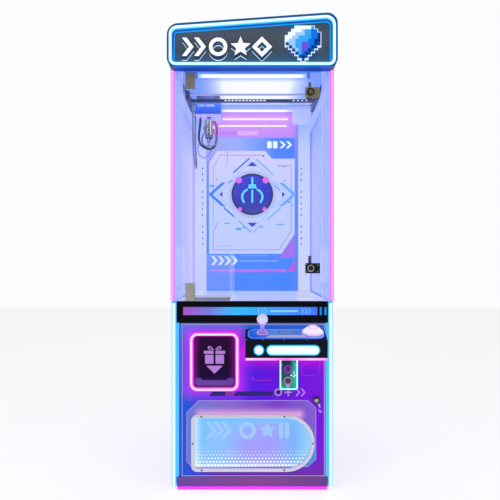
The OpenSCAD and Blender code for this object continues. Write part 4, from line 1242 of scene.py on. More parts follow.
def dome_light(tree, place):
    return shaded(tree, place, "Z", 0.634, 0.668, [
        (0.0, (0.8, 0.5, 1.0)), (0.22, (0.98, 0.86, 1.0)), (0.5, (1.0, 0.97, 1.0)), (0.86, (1.0, 0.9, 1.0)),
        (1.0, (0.98, 0.66, 0.98)),
    ])


coat("start_button", glowing_film("lit_dome", dome_light, 0.72, rough=0.12))
crown = turned_ring("start_pink_ring", 236, -47, 0.03, 0.0175, 0.0016)
dress(crown, glowing_film("pink_crown_ring", (1.0, 0.42, 0.85), 0.8), "start")

# ---- Playfield floor, chute and guard ----------------------------------------------------
# A white gloss board with a stepped moulded bracket, a white steel chute under the hole,
# and a clear acrylic guard whose cut edges catch the light.
deck_finish = worn_surface(
    "white_playfield", (0.66, 0.68, 0.78), 0.25, rubbed=(0.95, 0.95, 1.0), rubbing=0.3, grain=1300.0,
    depth=0.06)
# The white board carries an even painted glow.
glow(deck_finish, (0.72, 0.76, 0.9), 0.38)
coat("deck", deck_finish)
coat(
    "prize_chute",
    worn_surface(
        "white_chute_paint", (0.6, 0.62, 0.7), 0.4, rubbed=(0.4, 0.4, 0.42), rubbing=0.6, drift=0.2,
        grain=1100.0, depth=0.2)
)


def clear_sheet(name, tint, clearness, edge_clearness, edge_width=0.004, painted_glow_level=0.0, rough=0.06):
    """Clear acrylic or glass: its faces let most light through and its cut edges are milkier. A lift gives it
    a painted glow in its tint.
    """
    material, tree, shader, place = new_material(name)
    node = tree.nodes.new("ShaderNodeBevel")
    node.samples = 3
    node.inputs["Radius"].default_value = edge_width
    facing = tree.nodes.new("ShaderNodeNewGeometry")
    dot = tree.nodes.new("ShaderNodeVectorMath")
    dot.operation = "DOT_PRODUCT"
    tree.links.new(node.outputs[0], dot.inputs[0])
    tree.links.new(facing.outputs["Normal"], dot.inputs[1])
    rim = times(tree, math_node(tree, "SUBTRACT", 1.0, dot.outputs["Value"]), 5.0, True)
    smear = noise(tree, place, 9.0, 4.0)
    haze = times(tree, smear, 0.05)
    span = math_node(
        tree, "ADD", times(tree, rim, edge_clearness - clearness),
        math_node(tree, "ADD", clearness - 0.02, haze))
    tree.links.new(span, shader.inputs["Alpha"])
    tree.links.new(
        mix_colours(tree, rim, tint, tuple(min(1.0, c * 1.1 + 0.1) for c in tint)),
        shader.inputs["Base Color"])
    tree.links.new(math_node(tree, "ADD", rough, times(tree, smear, 0.12)), shader.inputs["Roughness"])
    if painted_glow_level:
        glow(material, tint, painted_glow_level)
    return material


coat("prize_guard", clear_sheet("guard_acrylic", (0.72, 0.78, 1.0), 0.12, 0.65, painted_glow_level=0.25))


def side_window_glass():
    """Side glass shows more of its painted tone the more it is seen edge on: violet painted reflections in
    bands along it, a deeper blue painted at the right and a painted navy shade towards the top, all with a
    painted glow.
    """
    material = clear_sheet("side_window_glass", (0.5, 0.55, 0.95), 0.14, 0.6, rough=0.04)
    material.node_tree.nodes["Principled BSDF"].inputs["Specular IOR Level"].default_value = 0.16
    tree = material.node_tree
    shader = tree.nodes["Principled BSDF"]
    place = tree.nodes["Texture Coordinate"].outputs["Object"]
    edge_on = tree.nodes.new("ShaderNodeLayerWeight")
    edge_on.inputs["Blend"].default_value = 0.28
    clear = shader.inputs["Alpha"].links[0].from_socket
    sheen = times(tree, edge_on.outputs["Facing"], 1.2, True)
    tree.links.new(
        math_node(tree, "MAXIMUM", clear, times(tree, math_node(tree, "POWER", sheen, 2.0), 1.0)),
        shader.inputs["Alpha"])
    tone = shaded(tree, place, "Y", -0.26, 0.372, [
        (0.0, (0.13, 0.2, 0.9)), (0.14, (0.22, 0.25, 0.95)), (0.2, (0.34, 0.18, 0.92)),
        (0.26, (0.22, 0.28, 0.95)), (0.52, (0.26, 0.3, 0.95)), (0.6, (0.44, 0.24, 0.94)),
        (0.66, (0.3, 0.32, 0.95)), (0.86, (0.4, 0.4, 0.95)), (0.93, (0.5, 0.24, 0.94)),
        (1.0, (0.5, 0.5, 0.98)),
    ])
    right = math_node(tree, "GREATER_THAN", axis_of(tree, place, "X"), 0.0)
    tone = mix_colours(tree, times(tree, right, 0.45), tone, (0.04, 0.2, 0.92))
    high = shaded(tree, place, "Z", 1.4, 1.72, [(0.0, (0.0, 0.0, 0.0)), (1.0, (1.0, 1.0, 1.0))])
    tone = mix_colours(tree, times(tree, high, 0.9), tone, (0.01, 0.1, 0.62))
    tree.links.new(tone, shader.inputs["Base Color"])
    glow(material, tone, 0.52)
    return material


coat("side_glass", side_window_glass())

# ---- Cabin posts -------------------------------------------------------------------------
# The front posts are clear acrylic bars and the rear pillars are white gloss boxes with a printed line of
# small violet marks. The rear pillars are given a painted pale blue glow that turns darker blue towards the
# top, and the front posts a painted glow in their tint.


def post_finish():
    material = clear_sheet("clear_and_white_posts", (0.34, 0.42, 0.97), 0.45, 0.8, painted_glow_level=0.3)
    tree = material.node_tree
    shader = tree.nodes["Principled BSDF"]
    place = tree.nodes["Texture Coordinate"].outputs["Object"]
    rear = math_node(tree, "GREATER_THAN", axis_of(tree, place, "Y"), 0.0)
    clear = shader.inputs["Alpha"].links[0].from_socket
    tree.links.new(math_node(tree, "MAXIMUM", clear, rear), shader.inputs["Alpha"])
    upward = shaded(
        tree, place, "Z", 0.757, 1.7,
        [
            (0.0, (0.56, 0.62, 0.97)), (0.5, (0.54, 0.6, 0.97)), (0.8, (0.48, 0.54, 0.97)),
            (1.0, (0.22, 0.38, 0.95))]
    )
    tone = mix_colours(tree, rear, shader.inputs["Base Color"].links[0].from_socket, upward)
    tree.links.new(tone, shader.inputs["Base Color"])
    glow(material, tone, 0.6)
    return material


coat("cabin_posts", post_finish())
pillar_marks = []
for side, x in ((-1, -266), (1, 262)):
    for step in range(14):
        low = 1004 + step * 31
        if step in (4, 10):
            continue
        pillar_marks.append(
            [
                (x - 3, low), (x + 3, low), (x + 3, low + 8), (x, low + 12), (x - 3, low + 12)
            ] if step % 2 else [(x - 3, low), (x + 3, low + 3), (x + 3, low + 12), (x - 3, low + 9)])
marks_print = flat_shape("pillar_marks", pillar_marks, 0.346 - 0.0005, 0.0005)
dress(marks_print, glowing_film("violet_pillar_ink", (0.2, 0.1, 0.8), 0.4), "cabinet")

# ---- Rear panel graphics -----------------------------------------------------------------
# A printed acrylic panel: pink at the top, blue below, with a pale chamfered field, a violet keyline and a
# round badge on nested diamonds. Each ink is a thin film on the panel, and the panel and its inks carry a
# painted glow.
panel_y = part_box("rear_graphic")[0][1]


def panel_print(tree, place):
    height = axis_of(tree, place, "Z")
    base = graded(tree, height, 0.757, 1.722, [
        (0.0, (0.0, 0.2, 0.95)), (0.2, (0.01, 0.22, 0.95)), (0.6, (0.1, 0.24, 0.95)),
        (0.82, (0.34, 0.26, 0.95)), (0.88, (0.62, 0.23, 0.93)), (1.0, (0.78, 0.33, 0.95)),
    ])
    right = halo_mask(tree, place, 0.245, 1.25, 0.004, 0.5, 0.05)
    base = mix_colours(tree, times(tree, right, 0.6), base, (0.05, 0.18, 0.95))
    sheen = noise(tree, place, 4.0, 3.0)
    return mix_colours(tree, times(tree, sheen, 0.12), base, (0.35, 0.35, 1.0))


coat("rear_graphic", glowing_film("printed_rear_panel", panel_print, 0.76))


def panel_piece(name, outlines, layer, colour, strength=0.76):
    piece = flat_shape(name, outlines, panel_y - 0.0004 * layer, 0.0004)
    dress(piece, glowing_film(f"{name}_ink", colour, strength), "cabinet")
    return piece


panel_piece("rear_blue_band", [[(-243, 1448), (-243, 1580), (228, 1580), (228, 1468), (105, 1468), (70,
    1510), (-190, 1510)]], 1,
            banded("X", -0.243, 0.228, [(0.0, (0.36, 0.36, 0.95)), (0.35, (0.3, 0.42, 0.95)), (0.8, (0.03,
                0.2, 0.95)), (1.0, (0.03, 0.2, 0.95))]))
panel_piece("rear_pale_field", [[(-190, 1510), (-233, 1446), (-233, 957), (157, 957), (228, 1064), (228,
    1468), (105, 1468), (70, 1510)]], 2,
            banded("Z", 0.957, 1.51, [(0.0, (0.55, 0.64, 0.94)), (0.5, (0.53, 0.64, 0.95)), (1.0, (0.68,
                0.64, 0.94))]))
keyline = [(60, 1487), (-171, 1487), (-210, 1423), (-210, 1130)]
panel_piece("rear_keyline", [
    line_strip(keyline, 2.3),
    line_strip(
        [(-182, 1128), (-210, 1080), (-210, 978), (145, 978), (209, 1080), (209, 1431), (138, 1431)], 2.3),
    line_strip([(-190, 998), (-98, 998)], 1.2), disc(60, 1482, 5, 16), disc(176, 1424, 4, 16),
    box(138, 170, 1426, 1428),
], 3, (0.26, 0.07, 0.78))
panel_piece("rear_lilac_corner", [[(228, 1058), (228, 937), (146, 937)]], 1, (0.4, 0.16, 0.84))
panel_piece("rear_pink_corner", [[(228, 929), (228, 861), (188, 861)]], 2, (0.55, 0.1, 0.74))
panel_piece("rear_pink_rule", [[(-228, 858), (186, 858), (178, 874), (-228, 874)]], 1,
            banded("X", -0.228, 0.18, [(0.0, (0.4, 0.16, 0.86)), (1.0, (0.58, 0.12, 0.78))]))
panel_piece(
    "rear_rule_blocks",
    [box(x, x + w, 858, 866) for x, w in ((62, 6), (76, 12), (96, 8), (110, 16), (132, 6), (144, 10))], 2,
    (0.2, 0.2, 0.92))
dotted = [disc(x, 946, 2.4, 10) for x in range(-60, 84, 8)] + [
    disc(x, 918, 3.0, 12)
    for x in range(-66, 140, 8)]
panel_piece("rear_dotted_rows", dotted, 1, (0.4, 0.66, 1.0))
panel_piece("rear_pink_tab", [[(-78, 1594), (-78, 1618), (34, 1618), (24, 1594)]], 1, (0.85, 0.45, 0.95))
panel_piece(
    "rear_tab_blocks", [box(x, x + 11, 1599, 1613) for x in range(-176, -86, 17)], 1, (0.45, 0.22, 0.8))
panel_piece("rear_heading_bars", [
    rounded_box(80, 104, 1524, 1562, 5, 3), rounded_box(111, 135, 1524, 1562, 5, 3),
    [(146, 1524), (160, 1524), (180, 1543), (160, 1562), (146, 1562), (166, 1543)],
    [(180, 1524), (194, 1524), (214, 1543), (194, 1562), (180, 1562), (200, 1543)],
], 3, (0.85, 0.92, 1.0), 0.9)
panel_piece("rear_footer_arrows", [
    [(x, 896), (x + 16, 896), (x + 36, 920), (x + 16, 944), (x, 944), (x + 20, 920)]
    for x in (-222, -186, -150, -114)
], 1, (0.75, 0.85, 1.0), 0.9)
led_rows = [
    disc(x, 1680, 5.0, 6)
    for x in range(-152, 194, 14)] + [disc(x, 1644, 5.0, 6) for x in range(-172, 190, 14)]
leds = flat_shape("rear_lamp_rows", led_rows, panel_y - 0.0016, 0.0016, 0.0004)
dress(leds, glowing_film("white_lamp_dot", (0.95, 0.95, 1.0), 1.6), "cabinet")


def chevron(half_x, half_z, width, side, share):
    """One arm pair of a diamond, at its left (-1) or right (1), cut off at a share of its height."""
    inner_x = half_x - width
    cut = half_z * share
    return [
        (side * half_x, 1276), (side * half_x * (1 - share), 1276 + cut),
        (side * (half_x * (1 - share) - width), 1276 + cut),
        (side * inner_x, 1276), (side * (half_x * (1 - share) - width), 1276 - cut),
        (side * half_x * (1 - share), 1276 - cut),
    ]


def stroke(half_x, half_z, side, up, first, last, width):
    """A bar along one side of a diamond, from a first to a last share of the way out from its tip."""
    ends = [(side * half_x * share, 1276 + up * half_z * (1 - share)) for share in (first, last)]
    return line_strip(ends, width / 2)


panel_piece("badge_left_arms", [chevron(236, 212, 22, -1, 0.3)], 3, (0.03, 0.24, 0.95))
panel_piece("badge_right_arms", [chevron(236, 212, 22, 1, 0.3)], 3, (0.16, 0.44, 0.96))
panel_piece(
    "badge_inner_arms", [chevron(200, 180, 15, -1, 0.42), chevron(200, 180, 15, 1, 0.42)], 3,
    (0.45, 0.64, 1.0))
panel_piece("badge_dark_strokes", [
    stroke(232, 208, -1, 1, 0.06, 0.44, 15), stroke(232, 208, -1, -1, 0.42, 0.66, 15),
    stroke(196, 176, -1, 1, 0.55, 0.66, 10), stroke(172, 154, 1, 1, 0.62, 0.86, 9),
], 4, (0.0, 0.14, 0.93))
panel_piece("badge_mid_strokes", [
    stroke(232, 208, 1, 1, 0.08, 0.48, 16), stroke(232, 208, 1, -1, 0.36, 0.66, 16),
    stroke(232, 208, 1, -1, 0.02, 0.22, 12), stroke(232, 208, -1, -1, 0.02, 0.32, 16),
], 4, (0.22, 0.48, 0.97))
panel_piece("badge_pale_strokes", [
    stroke(204, 182, -1, 1, 0.04, 0.5, 13), stroke(204, 182, 1, 1, 0.04, 0.5, 13),
    stroke(204, 182, -1, -1, 0.3, 0.62, 10), stroke(204, 182, 1, -1, 0.06, 0.46, 11),
], 3, (0.44, 0.66, 0.99))
panel_piece(
    "badge_dark_tips",
    [
        [(0, 1452), (-26, 1428), (26, 1428)], [(0, 1100), (-26, 1124), (26, 1124)],
        [(-176, 1276), (-160, 1292), (-160, 1260)], [(176, 1276), (160, 1292), (160, 1260)]],
    4, (0.03, 0.03, 0.62))
panel_piece("badge_chips", [
    box(-228, -206, 1316, 1326), box(-196, -188, 1352, 1360), box(190, 206, 1230, 1238),
    box(170, 178, 1344, 1352), box(-150, -120, 1118, 1124), box(128, 170, 1112, 1118),
    box(-88, -58, 1084, 1096), box(-50, -40, 1092, 1104), box(40, 62, 1098, 1104),
    box(214, 226, 1216, 1222),
], 3, (0.1, 0.36, 0.96))

# The badge in the middle: a raised round medallion with a three-fingered grab on it
medal_parts = (
    ("medal_rim", [disc(0, 1276, 128, 64), disc(0, 1276, 112, 64)], 0.0052, (0.52, 0.6, 0.9), 0.72),
    ("medal_shade", [disc(0, 1276, 112, 64), disc(0, 1276, 102, 64)], 0.004, (0.02, 0.02, 0.22), 0.3),
    (
        "medal_field", [disc(0, 1276, 102, 64)], 0.0034,
        banded("Z", 1.17, 1.38, [(0.0, (0.0, 0.0, 0.36)), (1.0, (0.0, 0.01, 0.75))]), 0.55),
)
for name, outlines, rise, colour, strength in medal_parts:
    part = flat_shape(name, outlines, panel_y - rise, rise, 0.0009)
    dress(part, glowing_film(f"{name}_ink", colour, strength), "cabinet")


def prong(side):
    """One curved finger of the grab on the medallion."""
    outer_arc = [
        (side * (16 + 44 * math.sin(math.radians(a))), 1262 + 46 * math.cos(math.radians(a)))
        for a in range(10, 141, 10)]
    inner_arc = [
        (side * (16 + 33 * math.sin(math.radians(a))), 1262 + 35 * math.cos(math.radians(a)))
        for a in range(136, 9, -10)]
    return outer_arc + inner_arc


grab = flat_shape("medal_grab", [
    box(-5, 5, 1326, 1368), [(-24, 1308), (24, 1308), (18, 1330), (-18, 1330)], prong(-1), prong(1),
    [(-5, 1300), (5, 1300), (5, 1236), (0, 1226), (-5, 1236)],
], panel_y - 0.0048, 0.0016, 0.0004)
dress(grab, glowing_film("cyan_grab_ink", (0.1, 0.7, 0.95), 0.9), "cabinet")
balls = flat_shape(
    "medal_dots",
    [disc(-72, 1352, 17, 32), disc(72, 1352, 17, 32), disc(-66, 1196, 11, 28), disc(66, 1196, 11, 28)],
    panel_y - 0.0072, 0.0072, 0.0028)
dress(balls, glowing_film("pink_dot_lens", (0.8, 0.14, 0.8), 0.8), "cabinet")

# ---- Roof, ceiling and lamps -------------------------------------------------------------
# A navy folded roof pan over a white ceiling board with a lit diffuser, a white lamp tube
# across the front, and the white motor box at the back right.


# Painted light on the roof pan: a blue glow along its lower front edge, pink painted on its strip at the back
# like the lit rear panel, and a painted glow all over.
def roof_print(tree, place):
    front = shaded(
        tree, place, "Z", 1.675, 1.702,
        [(0.0, (0.02, 0.24, 0.92)), (0.5, (0.0, 0.09, 0.5)), (1.0, (0.0, 0.02, 0.14))])
    inside = shaded(
        tree, place, "Y", -0.26, 0.37,
        [
            (0.0, (0.03, 0.05, 0.2)), (0.96, (0.03, 0.05, 0.2)), (0.97, (0.62, 0.27, 0.9)),
            (1.0, (0.62, 0.27, 0.9))]
    )
    low = math_node(tree, "LESS_THAN", axis_of(tree, place, "Z"), 1.7225)
    inside = mix_colours(tree, low, (0.03, 0.05, 0.2), inside)
    return mix_colours(
        tree, math_node(tree, "GREATER_THAN", axis_of(tree, place, "Y"), -0.26), front, inside)


roof_finish = worn_surface(
    "navy_roof_paint", roof_print, 0.4, rubbed=(0.2, 0.3, 0.6), rubbing=0.5, grain=1400.0, depth=0.25)
painted_self_glow(roof_finish, 0.3)
coat("roof_pan", roof_finish)


# The diffuser in the middle is the lamp. Round it the board glows a painted blue, and the dark blue bands
# near its front are a painted shadow behind the lamp tube.
def ceiling_light(tree, place):
    along = shaded(tree, place, "Y", -0.26, 0.37, [
        (0.0, (0.0, 0.1, 0.5)), (0.05, (0.02, 0.1, 0.42)), (0.12, (0.2, 0.32, 0.85)),
        (0.15, (0.02, 0.12, 0.5)), (0.2, (0.08, 0.2, 0.78)), (0.25, (0.34, 0.46, 0.95)),
        (0.34, (0.9, 0.94, 1.0)), (0.66, (0.85, 0.9, 1.0)),
        (0.7, (0.36, 0.5, 0.97)), (0.84, (0.42, 0.54, 0.97)), (0.9, (0.95, 0.97, 1.0)),
        (1.0, (0.95, 0.97, 1.0)),
    ])
    middle = halo_mask(tree, place, 0.02, 1.722, 0.15, 0.02, 0.13)
    return mix_colours(tree, middle, (0.12, 0.26, 0.92), along)


coat("ceiling_panel", glowing_film("lit_ceiling_board", ceiling_light, 0.85))
coat("front_light_tube", glowing_film("white_lamp_tube", banded("X", -0.245, 0.245, [
    (0.0, (0.02, 0.08, 0.34)), (0.034, (0.02, 0.08, 0.34)), (0.036, (0.1, 0.3, 0.8)),
    (0.1, (0.95, 0.98, 1.0)), (0.9, (0.95, 0.98, 1.0)), (0.964, (0.1, 0.3, 0.8)),
    (0.966, (0.02, 0.08, 0.34)), (1.0, (0.02, 0.08, 0.34)),
]), 1.1))
motor_finish = worn_surface(
    "white_motor_box", (0.66, 0.68, 0.92), 0.3, rubbed=(0.9, 0.9, 1.0), rubbing=0.3, grain=1200.0,
    depth=0.06)
# The white box carries a painted pale blue glow.
glow(motor_finish, (0.66, 0.72, 1.0), 0.25)
coat("motor_box", motor_finish)

# ---- Frosted side patches ----------------------------------------------------------------
# A rectangle of frosted film stuck inside each side window, low down near the front.
for number, side in enumerate((-1, 1)):
    bpy.ops.object.select_all(action="DESELECT")
    bpy.ops.mesh.primitive_cube_add(size=1, location=(side * 0.3143, -0.115, 0.8985))
    strip = bpy.context.object
    strip.name = f"frosted_patch_{number}"
    strip.scale = (0.0008, 0.236, 0.151)
    bpy.ops.object.transform_apply(location=True, rotation=True, scale=True)
    round_edges(strip, 0.0003, 1)
    dress(
        strip, clear_sheet(f"frosted_film_{number}", (0.8, 0.84, 1.0), 0.38, 0.7, painted_glow_level=0.3, rough=0.4),
        "cabinet")

# ---- Gantry ------------------------------------------------------------------------------
# Pale blue painted rails, a black painted bridge with its plated axles, and a carriage under a blue printed
# cover. The rails, the bridge and the cover carry a painted glow, and the bridge's rear middle bar is pale
# blue. Turned parts show fine rings, and drawn parts fine lines.


def drawn_metal(name, colour, rough, axis_scale, rubbed=(0.85, 0.86, 0.9)):
    """Bare metal with fine drawn or turned lines, and smears that dull it."""
    material = worn_surface(
        name, colour, rough, metal=1.0, rubbed=rubbed, rubbing=0.3, drift=0.2, grain=600.0, depth=0.02)
    tree = material.node_tree
    shader = tree.nodes["Principled BSDF"]
    place = tree.nodes["Texture Coordinate"].outputs["Object"]
    stretch = tree.nodes.new("ShaderNodeMapping")
    stretch.inputs["Scale"].default_value = axis_scale
    tree.links.new(place, stretch.inputs["Vector"])
    lines = noise(tree, stretch.outputs[0], 1.0, 3.0)
    bump = tree.nodes.new("ShaderNodeBump")
    bump.inputs["Strength"].default_value = 0.12
    bump.inputs["Distance"].default_value = 0.0003
    tree.links.new(lines, bump.inputs["Height"])
    tree.links.new(bump.outputs[0], shader.inputs["Normal"])
    return material


rail_finish = worn_surface(
    "pale_painted_rails", (0.42, 0.52, 0.9), 0.35, rubbed=(0.75, 0.78, 0.85), rubbing=0.5, grain=900.0,
    depth=0.06)
# The rails carry a painted glow.
glow(rail_finish, (0.36, 0.48, 0.95), 0.35)
coat("gantry_rails", rail_finish)
for axle in ("bridge_drive_axle", "bridge_idler_axle"):
    coat(axle, drawn_metal(f"turned_{axle}", (0.7, 0.76, 0.95), 0.4, (700, 30, 30)))
for axle in ("carriage_drive_axle", "carriage_idler_axle"):
    coat(axle, drawn_metal(f"turned_{axle}", (0.45, 0.46, 0.52), 0.28, (30, 700, 30)))


def bridge_print(tree, place):
    rear = math_node(tree, "GREATER_THAN", axis_of(tree, place, "Y"), -0.12)
    middle = math_node(tree, "LESS_THAN", math_node(tree, "ABSOLUTE", axis_of(tree, place, "X")), 0.261)
    return mix_colours(tree, times(tree, rear, middle), (0.01, 0.022, 0.08), (0.42, 0.52, 0.92))


bridge_finish = worn_surface(
    "black_and_white_bridge_paint", bridge_print, 0.35, rubbed=(0.35, 0.36, 0.4), rubbing=0.5, grain=1200.0,
    depth=0.2)
# The bridge carries a painted glow.
painted_self_glow(bridge_finish, 0.35)
coat("bridge_frame", bridge_finish)
coat("carriage_frame", drawn_metal("drawn_carriage_steel", (0.6, 0.66, 0.88), 0.32, (6, 900, 900)))
dashes = []
for x in list(range(-118, 60, 15)) + [172, 190, 208, 226]:
    dashes.append(box(x, x + (10 if x < 100 else 7), 1595.5, 1600.5))
dash_strip = flat_shape("bridge_white_dashes", dashes, -0.1705, 0.0005)
dress(dash_strip, glowing_film("white_dash_ink", (0.85, 0.9, 1.0), 0.8), "bridge")


def cover_print(tree, place):
    side = shaded(tree, place, "Z", 1.541, 1.589, [
        (0.0, (0.02, 0.08, 0.6)), (0.5, (0.02, 0.14, 0.85)), (1.0, (0.06, 0.24, 0.98)),
    ])
    below = math_node(tree, "LESS_THAN", axis_of(tree, place, "Z"), 1.5413)
    return mix_colours(tree, below, side, (0.42, 0.4, 0.95))


cover_finish = worn_surface(
    "blue_printed_cover", cover_print, 0.25, rubbed=(0.5, 0.6, 1.0), rubbing=0.5, grain=1400.0, depth=0.06)
# The cover carries a painted glow.
painted_self_glow(cover_finish, 0.4)
coat("carriage_cover", cover_finish)
cover_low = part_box("carriage_cover")[0]
label = flat_shape("cover_arrows", [
    [(x, 1571), (x + 5, 1571), (x + 11, 1577), (x + 5, 1583), (x, 1583), (x + 6, 1577)]
    for x in (-232, -222, -212)
] + [rounded_box(-196, -160, 1573, 1581, 3.6, 4)], cover_low[1] - 0.0005, 0.0005)
dress(label, glowing_film("pale_cover_ink", (0.7, 0.68, 1.0), 0.6), "carriage")

# ---- Hoist drum and cord -----------------------------------------------------------------
# A white nylon drum with turns of black cord wound on it, and the cord's straight run.
coat(
    "hoist_drum",
    worn_surface("white_nylon_drum", (0.62, 0.62, 0.6), 0.45, rubbed=(0.85, 0.85, 0.85), grain=700.0))
drum_low, drum_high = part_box("hoist_drum")
drum_x = (drum_low[0] + drum_high[0]) / 2
drum_z = (drum_low[2] + drum_high[2]) / 2
drum_y = (drum_low[1] + drum_high[1]) / 2
braid = worn_surface(
    "black_braid", (0.02, 0.02, 0.025), 0.6, rubbed=(0.2, 0.2, 0.2), grain=2400.0, depth=0.4)
for turn in range(6):
    middle = (drum_x, drum_y - 0.008 + turn * 0.0032, drum_z)
    wound = round_ring(
        f"wound_cord_{turn}", middle, 0.0158, 0.00145, (40, 8), turned=(math.radians(90), 0, 0))
    dress(wound, braid, "drum")

# ---- Leads -------------------------------------------------------------------------------
# The bridge's lead is satin grey and the claw's lead is black with a magenta sleeve. Both
# are smooth bent hoses on the routes that they were laid out on.


def bent_bar(name, route, radius, resolution=4, taper=None):
    """A round bar or lead along its route, smoothed between its points, and tapered by a rule."""
    curve = bpy.data.curves.new(name, "CURVE")
    curve.dimensions = "3D"
    curve.bevel_depth = radius
    curve.bevel_resolution = resolution
    curve.resolution_u = 6
    curve.use_fill_caps = True
    spline = curve.splines.new("BEZIER")
    spline.bezier_points.add(len(route) - 1)
    for number, (point, (x, y, z)) in enumerate(zip(spline.bezier_points, route)):
        point.co = (x / 1000, y / 1000, z / 1000)
        point.handle_left_type = "AUTO"
        point.handle_right_type = "AUTO"
        point.radius = taper(number) if taper else 1.0
    return from_curve(name, curve)


hoist_low, hoist_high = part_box("hoist_cord")
hoist_run = bent_bar(
    "hoist_run",
    [
        (-188, -120, hoist_low[2] * 1000), (-188, -120, (hoist_low[2] + hoist_high[2]) * 500),
        (-188, -120, hoist_high[2] * 1000)],
    0.0015)
dress(
    hoist_run,
    worn_surface(
        "black_hoist_braid", (0.015, 0.015, 0.02), 0.6, rubbed=(0.2, 0.2, 0.2), grain=2400.0, depth=0.4),
    None)
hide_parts("hoist_cord")
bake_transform(hoist_run)
gantry_route = [
    (-253, -164, 1592), (-253, -164, 1560), (-253, -164, 1500), (-252, -164, 1440), (-250, -162, 1390),
    (-247, -152, 1350), (-245, -136, 1330), (-244, -118, 1322), (-245, -100, 1331), (-247, -86, 1352),
    (-250, -78, 1392), (-252, -76, 1440), (-253, -76, 1500), (-253, -76, 1560), (-253, -76, 1592),
]
grey_lead = bent_bar("bridge_lead", gantry_route, 0.0038)
dress(
    grey_lead,
    worn_surface(
        "satin_grey_lead", (0.3, 0.34, 0.48), 0.4, rubbed=(0.5, 0.5, 0.6), grain=1200.0, depth=0.2),
    "bridge")
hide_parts("gantry_cable")
claw_route = [
    (-226, -112, 1540), (-227, -112, 1520), (-230, -112, 1494), (-233, -111, 1468), (-233, -103, 1449),
    (-229, -93, 1435), (-219, -83, 1425), (-203, -77, 1418), (-186, -75, 1416), (-170, -76, 1424),
    (-160, -81, 1444), (-157, -86, 1470), (-157, -95, 1497), (-160, -107, 1515), (-166, -115, 1526),
]


def sleeve_colour(tree, place):
    """Black, and magenta where the lead's own sleeve mark says so."""
    mark = tree.nodes.new("ShaderNodeAttribute")
    mark.attribute_name = "sleeve"
    return mix_colours(tree, mark.outputs["Fac"], (0.012, 0.012, 0.02), (0.52, 0.045, 0.45))


black_lead = bent_bar("claw_lead", claw_route, 0.0052)
sleeve = black_lead.data.attributes.new("sleeve", "FLOAT", "POINT")
for point, mark in zip(black_lead.data.vertices, sleeve.data):
    mark.value = float(point.co.x > -0.165 and point.co.z > 1.462)
black_finish = worn_surface(
    "black_and_magenta_lead", sleeve_colour, 0.35, rubbed=(0.3, 0.3, 0.35), grain=1200.0, depth=0.2,
    gloss=0.4)
dress(black_lead, black_finish, None)
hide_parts("claw_cable")
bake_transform(black_lead)
thin_wires = (
    (
        "grey_claw_wire",
        [
            (-229, -100, 1446), (-238, -102, 1412), (-232, -100, 1385), (-212, -97, 1371),
            (-192, -95, 1384), (-180, -96, 1408), (-178, -100, 1425)],
        (0.22, 0.26, 0.48)),
    (
        "white_claw_wire",
        [
            (-160, -96, 1432), (-144, -96, 1430), (-124, -97, 1418), (-112, -98, 1396), (-109, -98, 1368),
            (-114, -98, 1336)],
        (0.72, 0.76, 0.95)),
)
for name, route, colour in thin_wires:
    wire = bent_bar(name, route, 0.0019)
    dress(wire, worn_surface(f"{name}_sheath", colour, 0.4, grain=1500.0, depth=0.2), "claw")

# ---- Claw --------------------------------------------------------------------------------
# A plated coil case with a gold centre band and a blue foot, a brass plunger, and three polished fingers with
# hinge eyes. Rings and a round cord gland are fitted to it.


def coil_colour(tree, place):
    return shaded(tree, place, "Z", 1.446, 1.537, [
        (0.0, (0.03, 0.05, 0.3)), (0.14, (0.04, 0.08, 0.42)), (0.2, (0.7, 0.6, 0.46)),
        (0.55, (0.74, 0.66, 0.52)), (0.62, (0.66, 0.68, 0.76)), (1.0, (0.7, 0.72, 0.8)),
    ])


coil_finish = worn_surface(
    "plated_coil_case", coil_colour, 0.2, metal=0.9, rubbed=(0.9, 0.9, 0.95), rubbing=0.4, drift=0.3,
    grain=500.0, depth=0.08)
coat("claw_body", coil_finish)
coat(
    "claw_plunger",
    worn_surface(
        "turned_brass_plunger", (0.55, 0.42, 0.2), 0.25, metal=1.0, rubbed=(0.85, 0.75, 0.5), drift=0.3,
        grain=500.0)
)
finger_finish = worn_surface(
    "polished_finger_chrome", (0.3, 0.35, 0.5), 0.08, metal=1.0, rubbed=(0.9, 0.9, 0.95), rubbing=0.3,
    drift=0.35, grain=400.0, depth=0.04)
claw_x, claw_y = -0.188, -0.12


def hooked_finger(name, turn):
    """A finger bent from round bar, from its hinge eye round to its tip under the claw."""
    angles = [math.radians(a) for a in range(60, -91, -15)]
    path = [(22, 1499), (22.5, 1489)] + [(5 + 33 * math.cos(a), 1450 + 33 * math.sin(a)) for a in angles]
    across, deep = math.cos(turn), math.sin(turn)
    route = [(1000 * claw_x + out * across, 1000 * claw_y + out * deep, height) for out, height in path]
    piece = bent_bar(name, route, 0.0036, 5, lambda number: 1.0 - 0.25 * abs(number - 6) / 6)
    hinge = (claw_x + 0.022 * across, claw_y + 0.022 * deep, 1.499)
    round_ring("hinge_eye", hinge, 0.0034, 0.0017, (32, 10), turned=(math.radians(90), 0, turn))
    piece.select_set(True)
    bpy.context.view_layer.objects.active = piece
    bpy.ops.object.join()
    return piece


for side, turn in (("front", -90), ("right", 30), ("left", 150)):
    finger = hooked_finger(f"hooked_{side}_finger", math.radians(turn))
    dress(finger, finger_finish, f"finger_{side}")
    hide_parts(f"claw_finger_{side}")


